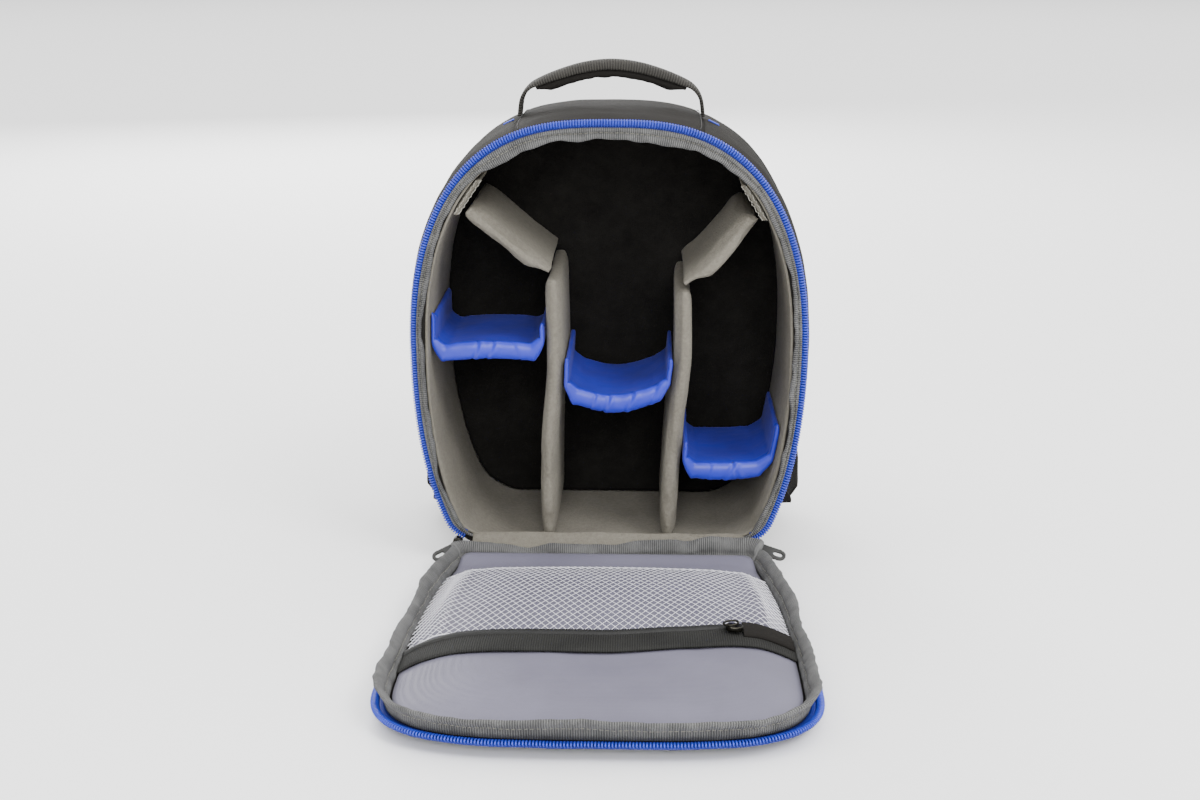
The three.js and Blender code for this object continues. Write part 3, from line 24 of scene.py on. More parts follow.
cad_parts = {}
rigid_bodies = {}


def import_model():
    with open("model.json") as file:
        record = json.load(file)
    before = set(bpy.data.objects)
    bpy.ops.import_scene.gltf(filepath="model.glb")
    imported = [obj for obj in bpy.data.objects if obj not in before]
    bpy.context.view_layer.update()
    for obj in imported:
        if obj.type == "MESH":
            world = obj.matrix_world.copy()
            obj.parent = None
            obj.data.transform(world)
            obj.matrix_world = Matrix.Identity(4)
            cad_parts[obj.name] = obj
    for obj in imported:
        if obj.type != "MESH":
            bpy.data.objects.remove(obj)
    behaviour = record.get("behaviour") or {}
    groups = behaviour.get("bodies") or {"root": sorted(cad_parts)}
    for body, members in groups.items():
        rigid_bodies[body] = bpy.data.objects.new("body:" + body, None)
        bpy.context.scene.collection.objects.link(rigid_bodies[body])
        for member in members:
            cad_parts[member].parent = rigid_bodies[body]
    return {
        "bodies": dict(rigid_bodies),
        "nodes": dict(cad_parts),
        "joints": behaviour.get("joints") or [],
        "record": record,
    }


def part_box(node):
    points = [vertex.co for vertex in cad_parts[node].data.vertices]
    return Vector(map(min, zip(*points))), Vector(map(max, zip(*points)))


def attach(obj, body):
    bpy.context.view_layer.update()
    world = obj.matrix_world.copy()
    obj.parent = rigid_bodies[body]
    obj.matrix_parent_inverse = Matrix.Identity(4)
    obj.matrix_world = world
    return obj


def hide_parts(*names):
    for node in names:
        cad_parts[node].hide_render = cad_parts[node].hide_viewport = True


LOG = logging.getLogger("backpack")
MM = 0.001
GAP = 0.3
SIM_FRAMES = 20
PUCKER_RISE = 6.0
PILE_RISE = 2.2
Array = np.ndarray
Socket = bpy.types.NodeSocket


# Numbers, tables and curves


def linear(code: str) -> tuple[float, float, float, float]:
    """Turns an sRGB colour into linear light.

    Args:
        code: The colour as six hex digits.

    Returns:
        Red, green, blue and alpha, each from 0 to 1.
    """
    shares = [int(code[i : i + 2], 16) / 255 for i in (0, 2, 4)]
    red, green, blue = (
        s / 12.92 if s <= 0.04045 else ((s + 0.055) / 1.055) ** 2.4 for s in shares
    )
    return (red, green, blue, 1.0)


def mix(a: float | Array, b: float | Array, share: float | Array) -> float | Array:
    """Goes a share of the way from a to b."""
    return a + (b - a) * share


def smooth_step(value: float | Array) -> float | Array:
    """Eases from 0 to 1 while the value goes from 0 to 1."""
    held = np.clip(value, 0.0, 1.0)
    return held * held * (3 - 2 * held)


def bell(value: float | Array) -> float | Array:
    """A bell of height 1 at 0 that has faded out by 2."""
    return np.exp(-np.square(value))


def smooth_table(keys: Sequence[float], values: Sequence[float], at: float | Array) -> Array:
    """Reads a short table of sections along a smooth line that never overshoots.

    Args:
        keys: The rising places of the rows.
        values: The values in the rows.
        at: The places to read.

    Returns:
        The value at each place.
    """
    x, y = np.asarray(keys, float), np.asarray(values, float)
    steps, rises = np.diff(x), np.diff(y)
    slopes = rises / steps
    tangents = np.zeros_like(y)
    inner = slopes[:-1] * slopes[1:] > 0
    tangents[1:-1][inner] = 2 * slopes[:-1][inner] * slopes[1:][inner] / (slopes[:-1] + slopes[1:])[inner]
    tangents[0], tangents[-1] = slopes[0], slopes[-1]
    place = np.clip(np.asarray(at, float), x[0], x[-1])
    i = np.clip(np.searchsorted(x, place, side="right") - 1, 0, len(x) - 2)
    t = (place - x[i]) / steps[i]
    return (
        (2 * t**3 - 3 * t**2 + 1) * y[i]
        + (t**3 - 2 * t**2 + t) * steps[i] * tangents[i]
        + (-2 * t**3 + 3 * t**2) * y[i + 1]
        + (t**3 - t**2) * steps[i] * tangents[i + 1]
    )


def waves(rows: Sequence[tuple[float, float, float]], share: Array) -> Array:
    """Adds up waves along an outline.

    Args:
        rows: Swing in millimetres, turns round the outline and start in turns.
        share: The places along the outline, from 0 to 1.

    Returns:
        The sum of the waves at each place.
    """
    return sum(swing * np.sin(2 * np.pi * (turns * share + start)) for swing, turns, start in rows)


def spline(points: Array, steps: int) -> Array:
    """Runs a smooth line through a few points.

    Args:
        points: The points in order.
        steps: How many stretches the line is cut into.

    Returns:
        The points along the line, its ends included.
    """
    t = np.linspace(0, len(points) - 1, steps + 1)
    i = np.minimum(t.astype(int), len(points) - 2)
    w = (t - i)[:, None]
    before, near = points[np.maximum(i - 1, 0)], points[i]
    far, after = points[i + 1], points[np.minimum(i + 2, len(points) - 1)]
    leave, arrive = (far - before) / 2, (after - near) / 2
    return (
        (2 * near - 2 * far + leave + arrive) * w**3
        + (-3 * near + 3 * far - 2 * leave - arrive) * w**2
        + leave * w
        + near
    )


def lengths_along(points: Array) -> Array:
    """Gives the length travelled at each point of a line."""
    return np.concatenate([[0.0], np.cumsum(np.linalg.norm(np.diff(points, axis=0), axis=1))])


def resample(line: Array, others: Sequence[Array], step: float) -> list[Array]:
    """Sets points evenly along a line, with whatever goes along with them.

    Args:
        line: The points of the line.
        others: Arrays with a row for each point, such as directions.
        step: The wanted distance between the new points.

    Returns:
        The new points, then each of the other arrays at the new points.
    """
    along = lengths_along(line)
    count = max(int(round(along[-1] / step)), 1)
    at = (np.arange(count) + 0.5) * along[-1] / count
    return [
        np.stack([np.interp(at, along, column) for column in array.T], axis=1)
        for array in (line, *others)
    ]


def unit(vectors: Array) -> Array:
    """Scales each vector to a length of 1."""
    return vectors / np.maximum(np.linalg.norm(vectors, axis=-1, keepdims=True), 1e-9)


def tangents_of(line: Array) -> Array:
    """Gives the direction of a line at each of its points."""
    return unit(np.gradient(line, axis=0))


def ripple(points: Array, size: float, seed: float = 0.0) -> Array:
    """Reads smooth noise from -1 to 1 at points.

    Args:
        points: The points, in millimetres.
        size: The size of one ripple, in millimetres.
        seed: Shifts to another part of the noise.

    Returns:
        The noise at each point, in the shape that the points have.
    """
    flat = points.reshape(-1, 3) / size + seed
    values = np.array([noise.noise(Vector(p)) for p in flat])
    return values.reshape(points.shape[:-1])


# Meshes


def make_object(
    name: str, points: Array, faces: Iterable[Sequence[int]], corner_uvs: Array | None = None
) -> bpy.types.Object:
    """Makes a smooth mesh object from points in millimetres.

    Args:
        name: The object's name.
        points: The points, three numbers each.
        faces: The point numbers of each face.
        corner_uvs: Two numbers in metres for each corner of each face, in order.

    Returns:
        The object, in metres, linked to the scene.
    """
    mesh = bpy.data.meshes.new(name)
    mesh.from_pydata((np.asarray(points) * MM).tolist(), [], [list(f) for f in faces])
    if corner_uvs is not None:
        layer = mesh.uv_layers.new(name="cloth")
        layer.data.foreach_set("uv", np.asarray(corner_uvs, float).ravel())
    shape = bmesh.new()
    shape.from_mesh(mesh)
    bmesh.ops.recalc_face_normals(shape, faces=shape.faces)
    shape.to_mesh(mesh)
    shape.free()
    mesh.shade_smooth()
    piece = bpy.data.objects.new(name, mesh)
    bpy.context.scene.collection.objects.link(piece)
    return piece


def loft(name: str, sections: Array, closed: bool = False) -> bpy.types.Object:
    """Skins a row of rings, with cloth coordinates that are real lengths in metres.

    Args:
        name: The object's name.
        sections: The rings, each a row of points in millimetres.
        closed: Whether the last ring joins the first. If not, both are capped.

    Returns:
        The object. Its first cloth coordinate runs from section to section, and its
        second one along a section.
    """
    count, size = sections.shape[:2]
    numbers = np.arange(count * size).reshape(count, size)
    rows = count if closed else count - 1
    i, j = (a.ravel() for a in np.meshgrid(np.arange(rows), np.arange(size), indexing="ij"))
    k, l = (i + 1) % count, (j + 1) % size
    faces = np.stack([numbers[i, j], numbers[k, j], numbers[k, l], numbers[i, l]], axis=1).tolist()
    middles = sections.mean(axis=1)
    u = lengths_along(np.vstack([middles, middles[:1]])) * MM
    wrapped = np.concatenate([sections, sections[:, :1]], axis=1)
    steps = np.linalg.norm(np.diff(wrapped, axis=1), axis=2)
    v = np.concatenate([np.zeros((count, 1)), np.cumsum(steps, axis=1)], axis=1) * MM
    uvs = np.stack(
        [
            np.stack([u[i], v[i, j]], axis=1),
            np.stack([u[i + 1], v[k, j]], axis=1),
            np.stack([u[i + 1], v[k, j + 1]], axis=1),
            np.stack([u[i], v[i, j + 1]], axis=1),
        ],
        axis=1,
    ).reshape(-1, 2)
    if not closed:
        for row in (0, count - 1):
            faces.append(numbers[row].tolist())
            uvs = np.vstack([uvs, np.stack([np.full(size, u[row]), v[row, :size]], axis=1)])
    return make_object(name, sections.reshape(-1, 3), faces, uvs)


def tube(line: Array, radii: Array, sides: int, squash: float = 1.0) -> tuple[Array, list[list[int]]]:
    """Makes a thin closed tube along a short line.

    Args:
        line: The points of its middle line.
        radii: Its radius at each point.
        sides: How many sides it has.
        squash: Its height as a share of its width.

    Returns:
        Its points and its faces.
    """
    along = tangents_of(line)
    side = unit(np.cross(along, [0.0, 0.0, 1.0]) + [0.0, 1e-6, 0.0])
    up = np.cross(side, along)
    angles = 2 * np.pi * np.arange(sides) / sides
    rings = (
        line[:, None]
        + side[:, None] * (np.cos(angles)[None, :, None] * radii[:, None, None])
        + up[:, None] * (np.sin(angles)[None, :, None] * radii[:, None, None] * squash)
    )
    faces = [
        [a * sides + b, (a + 1) * sides + b, (a + 1) * sides + (b + 1) % sides, a * sides + (b + 1) % sides]
        for a in range(len(line) - 1)
        for b in range(sides)
    ]
    last = (len(line) - 1) * sides
    faces += [list(range(sides)), list(range(last, last + sides))]
    return rings.reshape(-1, 3), faces


def repeat(name: str, local: tuple[Array, list[list[int]]], origins: Array, axes: Array) -> bpy.types.Object:
    """Sets copies of one small shape in many places.

    Args:
        name: The object's name.
        local: The points and faces of the shape, round its own origin.
        origins: Where each copy's origin goes.
        axes: For each copy, the directions of the shape's X, Y and Z.

    Returns:
        One object that holds all copies.
    """
    points, faces = local
    placed = origins[:, None] + np.einsum("pa,kab->kpb", points, axes)
    shifts = np.arange(len(origins)) * len(points)
    all_faces = [[n + shift for n in face] for shift in shifts.tolist() for face in faces]
    return make_object(name, placed.reshape(-1, 3), all_faces)


def axes_along(line: Array, up: Array) -> Array:
    """Gives a frame at each point of a line.

    Args:
        line: The points of the line.
        up: About which way is up at each point.

    Returns:
        For each point, the directions along, across and up.
    """
    along = tangents_of(line)
    across = unit(np.cross(up, along))
    return np.stack([along, across, np.cross(along, across)], axis=1)


def project_cloth(piece: bpy.types.Object) -> None:
    """Gives a mesh cloth coordinates in metres, seen along each face's main direction."""
    mesh = piece.data
    layer = mesh.uv_layers.get("cloth") or mesh.uv_layers.new(name="cloth")
    for polygon in mesh.polygons:
        normal = [abs(n) for n in polygon.normal]
        drop = normal.index(max(normal))
        keep = [axis for axis in (0, 1, 2) if axis != drop]
        for loop in polygon.loop_indices:
            place = mesh.vertices[mesh.loops[loop].vertex_index].co
            layer.data[loop].uv = (place[keep[0]], place[keep[1]])


def coordinates(piece: bpy.types.Object) -> Array:
    """Reads a mesh's points, in millimetres."""
    flat = np.empty(len(piece.data.vertices) * 3)
    piece.data.vertices.foreach_get("co", flat)
    return flat.reshape(-1, 3) / MM


def set_coordinates(piece: bpy.types.Object, points: Array) -> None:
    """Moves a mesh's points, given in millimetres."""
    piece.data.vertices.foreach_set("co", (points * MM).ravel())
    piece.data.update()


def normals_of(piece: bpy.types.Object) -> Array:
    """Reads a mesh's point normals."""
    return np.array([v.normal for v in piece.data.vertices])


def remeshed(name: str, node: bpy.types.Object, voxel: float, relax: int) -> bpy.types.Object:
    """Copies a plain solid as an even mesh with softened edges.

    Args:
        name: The new object's name.
        node: The plain solid.
        voxel: The size of one face of the new mesh, in millimetres.
        relax: How many times its points are drawn towards their neighbours.

    Returns:
        The new object.
    """
    piece = bpy.data.objects.new(name, node.data.copy())
    bpy.context.scene.collection.objects.link(piece)
    modifier = piece.modifiers.new("even", "REMESH")
    modifier.mode = "VOXEL"
    modifier.voxel_size = voxel * MM
    if relax:
        soften = piece.modifiers.new("soften", "SMOOTH")
        soften.iterations = relax
        soften.factor = 0.5
    made = bpy.data.meshes.new_from_object(piece.evaluated_get(bpy.context.evaluated_depsgraph_get()))
    piece.modifiers.clear()
    piece.data = made
    made.materials.clear()
    made.shade_smooth()
    return piece


def inflate(piece: bpy.types.Object, pressure: float, cap: float) -> None:
    """Fills a sewn cover with its foam by a short cloth simulation.

    Args:
        piece: The cover as an even mesh. It is changed.
        pressure: How hard the filling presses.
        cap: The most that any point may move, in millimetres.
    """
    scene = bpy.context.scene
    cloth = piece.modifiers.new("cover", "CLOTH")
    cloth.settings.quality = 6
    cloth.settings.mass = 0.2
    cloth.settings.tension_stiffness = 18
    cloth.settings.compression_stiffness = 18
    cloth.settings.bending_stiffness = 0.6
    cloth.settings.use_pressure = True
    cloth.settings.uniform_pressure_force = pressure
    cloth.settings.effector_weights.gravity = 0
    cloth.point_cache.frame_start, cloth.point_cache.frame_end = 1, SIM_FRAMES
    before = coordinates(piece)
    for frame in range(1, SIM_FRAMES + 1):
        scene.frame_set(frame)
    shown = piece.evaluated_get(bpy.context.evaluated_depsgraph_get())
    after = np.array([v.co for v in shown.data.vertices]) / MM
    moved = after - before
    far = np.linalg.norm(moved, axis=1, keepdims=True)
    moved *= np.minimum(1.0, cap / np.maximum(far, 1e-6))
    piece.modifiers.clear()
    scene.frame_set(1)
    set_coordinates(piece, before + moved)


# Finishes


def add_node(
    tree: bpy.types.NodeTree,
    kind: str,
    settings: dict[str | int, object] | None = None,
    links: dict[str | int, Socket] | None = None,
) -> bpy.types.Node:
    """Adds a node to a tree, with its settings and its links.

    Args:
        tree: The tree of a material or of the world.
        kind: The node's type.
        settings: Values for the node's own settings or for its inputs.
        links: For an input, the output that feeds it.

    Returns:
        The node.
    """
    node = tree.nodes.new(kind)
    for key, value in (settings or {}).items():
        if isinstance(key, str) and hasattr(node, key):
            setattr(node, key, value)
        else:
            node.inputs[key].default_value = value
    for key, source in (links or {}).items():
        tree.links.new(source, node.inputs[key])
    return node


class Weave(Enum):
    """How the threads of a fabric cross."""

    PLAIN = "plain"
    RIBS_ACROSS = "ribs across"
    RIBS_ALONG = "ribs along"


@dataclass(frozen=True)
class Finish:
    """What every finish has: its name, its slot in the record, its colours and its gloss."""

    name: str
    slot: str
    colour: str
    shade: str
    roughness: float = 0.8
    specular: float = 0.3
    ior: float = 1.5
    metallic: float = 0.0
    sheen: float = 0.0
    sheen_roughness: float = 0.5
    sheen_tint: str = "ffffff"
    blotch_mm: float = 30.0
    blotch: float = 0.35

    def start(self) -> tuple[bpy.types.Material, bpy.types.Node]:
        """Makes the material with its shader.

        Returns:
            The material and its shader node.
        """
        material = bpy.data.materials.new(self.name)
        material.use_nodes = True
        tree = material.node_tree
        tree.nodes.clear()
        settings = {
            "Roughness": self.roughness,
            "Specular IOR Level": self.specular,
            "IOR": self.ior,
            "Metallic": self.metallic,
            "Sheen Weight": self.sheen,
            "Sheen Roughness": self.sheen_roughness,
            "Sheen Tint": linear(self.sheen_tint),
        }
        shader = add_node(tree, "ShaderNodeBsdfPrincipled", settings)
        add_node(tree, "ShaderNodeOutputMaterial", links={"Surface": shader.outputs[0]})
        return material, shader

    def blotches(self, tree: bpy.types.NodeTree, weight: Socket) -> Socket:
        """Mixes the two colours, by a fine pattern and by soft uneven patches.

        Args:
            tree: The material's nodes.
            weight: A pattern from 0, the shade, to 1, the colour.

        Returns:
            The mixed colour.
        """
        place = add_node(tree, "ShaderNodeTexCoord").outputs["Object"]
        patch = add_node(
            tree,
            "ShaderNodeTexNoise",
            {"Scale": 1 / (self.blotch_mm * MM), "Detail": 3.0, "Roughness": 0.55},
            {"Vector": place},
        )
        swing = add_node(
            tree,
            "ShaderNodeMapRange",
            {1: 0.3, 2: 0.7, 3: -self.blotch, 4: self.blotch},
            {0: patch.outputs["Fac"]},
        )
        total = add_node(
            tree,
            "ShaderNodeMath",
            {"operation": "ADD", "use_clamp": True},
            {0: weight, 1: swing.outputs[0]},
        )
        blend = add_node(
            tree,
            "ShaderNodeMix",
            {"data_type": "RGBA", 6: linear(self.shade), 7: linear(self.colour)},
            {0: total.outputs[0]},
        )
        return blend.outputs[2]


@dataclass(frozen=True)
class WovenCloth(Finish):
    """Woven fabric or tape. Its threads follow the cloth coordinates, which are in metres.

    The threads of the real cloth are 0.4 to 0.6 mm apart, too fine to show, so the plain
    weaves are drawn about twice as coarse.
    """

    weave: Weave = Weave.PLAIN
    thread_mm: float = 1.1
    relief_mm: float = 0.12
    contrast: float = 0.5
    pucker_mm: float = 9.0
    pucker: float = 0.25

    def build(self) -> bpy.types.Material:
        """Makes the material.

        Returns:
            The material.
        """
        material, shader = self.start()
        tree = material.node_tree
        cloth = add_node(tree, "ShaderNodeUVMap", {"uv_map": "cloth"})
        axes = add_node(tree, "ShaderNodeSeparateXYZ", links={0: cloth.outputs[0]})
        turn = 2 * math.pi / (self.thread_mm * MM)
        runs = []
        times, sine = {"operation": "MULTIPLY"}, {"operation": "SINE"}
        for axis in (0, 1):
            angle = add_node(tree, "ShaderNodeMath", {**times, 1: turn}, {0: axes.outputs[axis]})
            run = add_node(tree, "ShaderNodeMath", sine, {0: angle.outputs[0]})
            runs.append(run.outputs[0])
        if self.weave is Weave.PLAIN:
            both = {0: runs[0], 1: runs[1]}
            cross = add_node(tree, "ShaderNodeMath", times, both).outputs[0]
        else:
            cross = runs[0] if self.weave is Weave.RIBS_ACROSS else runs[1]
        height = add_node(
            tree,
            "ShaderNodeMapRange",
            {1: -1.0, 2: 1.0, 3: 1.0 - self.contrast, 4: 1.0},
            {0: cross},
        ).outputs[0]
        place = add_node(tree, "ShaderNodeTexCoord").outputs["Object"]
        slub = add_node(
            tree,
            "ShaderNodeTexNoise",
            {"Scale": 1 / (self.pucker_mm * MM), "Detail": 5.0, "Roughness": 0.6},
            {"Vector": place},
        )
        relief = add_node(
            tree,
            "ShaderNodeMath",
            {"operation": "MULTIPLY_ADD", 1: self.pucker * PUCKER_RISE},
            {0: slub.outputs["Fac"], 2: height},
        )
        bump = add_node(
            tree,
            "ShaderNodeBump",
            {"Strength": 1.0, "Distance": self.relief_mm * MM},
            {"Height": relief.outputs[0]},
        )
        tree.links.new(self.blotches(tree, height), shader.inputs["Base Color"])
        tree.links.new(bump.outputs[0], shader.inputs["Normal"])
        return material


@dataclass(frozen=True)
class BrushedLoop(Finish):
    """Brushed loop fabric: a matt pile of tiny loops that is a little cloudy."""

    loop_mm: float = 1.3
    relief_mm: float = 0.35
    cloud_mm: float = 7.0

    def build(self) -> bpy.types.Material:
        """Makes the material.

        Returns:
            The material.
        """
        material, shader = self.start()
        tree = material.node_tree
        place = add_node(tree, "ShaderNodeTexCoord").outputs["Object"]
        loops = add_node(
            tree,
            "ShaderNodeTexVoronoi",
            {"Scale": 1 / (self.loop_mm * MM), "Randomness": 1.0},
            {"Vector": place},
        )
        pile = add_node(
            tree,
            "ShaderNodeTexNoise",
            {"Scale": 1 / (self.cloud_mm * MM), "Detail": 6.0, "Roughness": 0.65},
            {"Vector": place},
        )
        height = add_node(
            tree,
            "ShaderNodeMath",
            {"operation": "MULTIPLY_ADD", 1: PILE_RISE},
            {0: pile.outputs["Fac"], 2: loops.outputs["Distance"]},
        )
        bump = add_node(
            tree,
            "ShaderNodeBump",
            {"Strength": 1.0, "Distance": self.relief_mm * MM},
            {"Height": height.outputs[0]},
        )
        weight = add_node(
            tree,
            "ShaderNodeMapRange",
            {1: 0.25, 2: 0.75, 3: 0.15, 4: 0.85},
            {0: pile.outputs["Fac"]},
        )
        tree.links.new(self.blotches(tree, weight.outputs[0]), shader.inputs["Base Color"])
        tree.links.new(bump.outputs[0], shader.inputs["Normal"])
        return material


@dataclass(frozen=True)
class Moulded(Finish):
    """Moulded plastic or cast metal: an even colour with a fine grain and rubbed spots."""

    grain_mm: float = 0.6
    relief_mm: float = 0.02

    def build(self) -> bpy.types.Material:
        """Makes the material.

        Returns:
            The material.
        """
        material, shader = self.start()
        tree = material.node_tree
        place = add_node(tree, "ShaderNodeTexCoord").outputs["Object"]
        grain = add_node(
            tree,
            "ShaderNodeTexNoise",
            {"Scale": 1 / (self.grain_mm * MM), "Detail": 3.0, "Roughness": 0.5},
            {"Vector": place},
        )
        bump = add_node(
            tree,
            "ShaderNodeBump",
            {"Strength": 0.6, "Distance": self.relief_mm * MM},
            {"Height": grain.outputs["Fac"]},
        )
        gloss = add_node(
            tree,
            "ShaderNodeMapRange",
            {1: 0.3, 2: 0.7, 3: self.roughness * 0.85, 4: min(self.roughness * 1.2, 1.0)},
            {0: grain.outputs["Fac"]},
        )
        tree.links.new(self.blotches(tree, grain.outputs["Fac"]), shader.inputs["Base Color"])
        tree.links.new(gloss.outputs[0], shader.inputs["Roughness"])
        tree.links.new(bump.outputs[0], shader.inputs["Normal"])
        return material


# 600-denier polyester, plain weave, coated inside: matt brown-black with a dry, fine weave
SHELL_POLYESTER = WovenCloth(
    "woven polyester, shell", "outer_cloth", "1f1d1b", "131210", 0.85, 0.1,
    sheen=0.03, sheen_roughness=0.45, sheen_tint="b9b4aa", thread_mm=1.2, relief_mm=0.16,
    contrast=0.7, blotch_mm=45.0, blotch=0.12,
)
# Brushed nylon loop, so that hook tape holds the dividers: matt taupe pile
LOOP_LINING = BrushedLoop(
    "brushed loop, lining", "lining_cloth", "7f7b71", "615d54", 0.95, 0.08,
    sheen=0.12, sheen_roughness=0.6, sheen_tint="d8d4ca", blotch=0.14, cloud_mm=2.6,
    relief_mm=0.3,
)
# The same loop fabric in charcoal behind the dividers: a dark cloth, made darker still as painted shade of the
# deep room
LOOP_CHARCOAL_PAINTED_SHADE = BrushedLoop(
    "brushed loop, charcoal with painted shade", "shade_cloth", "1e1d1b", "131211", 0.95, 0.05, sheen=0.02,
)
# 210-denier nylon, tightly woven and pressed smooth: even lavender grey with a faint gloss
SMOOTH_NYLON = WovenCloth(
    "pressed nylon, flap lining", "smooth_cloth", "696776", "595765", 0.55, 0.3,
    sheen=0.08, sheen_roughness=0.4, thread_mm=1.0, relief_mm=0.07, contrast=0.4,
    blotch_mm=60.0, blotch=0.3, pucker=0.7, pucker_mm=14.0,
)
# Grosgrain polyester tape, its ribs about a millimetre apart across the tape
GROSGRAIN = WovenCloth(
    "grosgrain tape, binding", "binding_tape", "6e6e6d", "424242", 0.88, 0.12,
    sheen=0.08, weave=Weave.RIBS_ACROSS, thread_mm=1.45, relief_mm=0.6, contrast=0.95,
    blotch_mm=12.0,
)
# 420-denier nylon with a soft shine over its foam: folds catch the light
BLUE_NYLON = WovenCloth(
    "glossy nylon, shelves", "blue_cloth", "222cb6", "18208c", 0.38, 0.45,
    sheen=0.05, thread_mm=0.9, relief_mm=0.05, contrast=0.3, pucker=0.5, pucker_mm=9.0,
)
# Woven polyester zip tape, ribbed along its length
BLUE_TAPE = WovenCloth(
    "woven zip tape, blue", "blue_zip_tape", "1a2b8e", "101c66", 0.62, 0.3,
    weave=Weave.RIBS_ALONG, thread_mm=1.2, relief_mm=0.15,
)
# Nylon monofilament coil: smooth, a little waxy
BLUE_COIL = Moulded(
    "nylon coil, blue", "blue_zip_coil", "2d42c4", "1c2ea0", 0.33, 0.5, ior=1.53, blotch_mm=3.0,
)
# Polypropylene webbing with a rib at every pick
WEBBING = WovenCloth(
    "ribbed webbing, black", "black_webbing", "363430", "1b1a18", 0.78, 0.2,
    sheen=0.06, sheen_tint="b9b4aa", weave=Weave.RIBS_ACROSS, thread_mm=1.9, relief_mm=0.5,
    contrast=0.9,
)
# Black zip tape, finely ribbed across
BLACK_TAPE = WovenCloth(
    "woven zip tape, black", "black_zip", "272725", "141413", 0.75, 0.2,
    weave=Weave.RIBS_ACROSS, thread_mm=1.5, relief_mm=0.25, contrast=0.8,
)
# Black nylon coil under its tape: smoother than the tape
BLACK_COIL = Moulded(
    "nylon coil, black", "black_zip", "1d1d1c", "131312", 0.6, 0.3, ior=1.53, blotch_mm=3.0,
)
# Knitted polyester yarn, off-white and slightly shiny
NET_YARN = Moulded(
    "knitted polyester yarn", "white_net", "ecebf0", "d2d1da", 0.5, 0.4, sheen=0.2,
    blotch_mm=4.0, grain_mm=0.5, relief_mm=0.06,
)
# Acetal, moulded: dark olive black with a satin gloss
ACETAL = Moulded(
    "moulded acetal, black", "black_plastic", "1f1f1b", "131310", 0.36, 0.5, ior=1.48,
)
# Zinc casting with a dark lacquer, in small uneven spots
LACQUERED_ZINC = Moulded(
    "lacquered zinc", "dark_metal", "3c3a33", "24231f", 0.34, 0.5, metallic=0.9, blotch_mm=5.0,
)
# Twisted polyester sewing thread, worn pale on the bound seams: faint dashes
GREY_THREAD = Moulded(
    "sewing thread, grey", "binding_tape", "8f8d80", "6b695f", 0.6, 0.3, sheen=0.2, grain_mm=0.4,
)
# The same thread in black on the shell: seen only as a fine broken ridge
BLACK_THREAD = Moulded(
    "sewing thread, black", "outer_cloth", "232220", "151413", 0.6, 0.3, sheen=0.1, grain_mm=0.4,
)
# Bright blue thread, packed tight: a small solid bar of colour
BLUE_THREAD = Moulded(
    "sewing thread, blue", "blue_zip_tape", "2f46c4", "2236a0", 0.55, 0.35, sheen=0.1, grain_mm=0.4,
)
# Pale thread that whips the cut edges of the tabs
PALE_THREAD = Moulded(
    "sewing thread, pale", "lining_cloth", "a9a69a", "85827a", 0.6, 0.3, sheen=0.2, grain_mm=0.4,
)

MATERIALS: dict[str, bpy.types.Material] = {}


def dress(piece: bpy.types.Object, finish: Finish, *nodes: str) -> bpy.types.Object:
    """Gives a piece its material and its place in the frame.

    Args:
        piece: The piece.
        finish: Its finish.
        nodes: The plain solids that it is seen instead of.

    Returns:
        The piece.
    """
    if finish.name not in MATERIALS:
        MATERIALS[finish.name] = finish.build()
    piece.data.materials.clear()
    piece.data.materials.append(MATERIALS[finish.name])
    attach(piece, "root")
    if nodes:
        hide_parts(*nodes)
    LOG.info("%s: %s, %d points", piece.name, finish.name, len(piece.data.vertices))
    return piece


def subdivide(piece: bpy.types.Object, levels: int = 1) -> bpy.types.Object:
    """Rounds a piece with a subdivision surface."""
    modifier = piece.modifiers.new("round", "SUBSURF")
    modifier.levels = modifier.render_levels = levels
    return piece


# Outlines that the whole bag is drawn round


@dataclass
class Outline:
    """A closed outline, evenly divided, from the middle of its foot to the right and round."""

    points: Array
    normals: Array

    @cached_property
    def length(self) -> float:
        """Its whole length."""
        return float(lengths_along(np.vstack([self.points, self.points[:1]]))[-1])

    def at(self, share: float | Array) -> tuple[Array, Array]:
        """Reads places on the outline.

        Args:
            share: Shares of its length.

        Returns:
            The points and the outward normals there.
        """
        count = len(self.points)
        place = np.mod(np.asarray(share, float), 1.0) * count
        low = np.floor(place).astype(int) % count
        w = (place - np.floor(place))[..., None]
        high = (low + 1) % count
        return (
            mix(self.points[low], self.points[high], w),
            unit(mix(self.normals[low], self.normals[high], w)),
        )

    def share_at_height(self, height: float) -> float:
        """Where its right side passes a height."""
        half = len(self.points) // 2
        return float(np.interp(height, self.points[1:half, 1], np.arange(1, half))) / len(self.points)

    def share_at_crown(self, x: float) -> float:
        """Where the right of its crown passes a half width."""
        count = len(self.points)
        quarter, half = count // 4, count // 2
        xs = self.points[quarter : half + 1, 0][::-1]
        widest = int(np.argmax(xs))
        return (half - float(np.interp(x, xs[: widest + 1], np.arange(widest + 1)))) / count


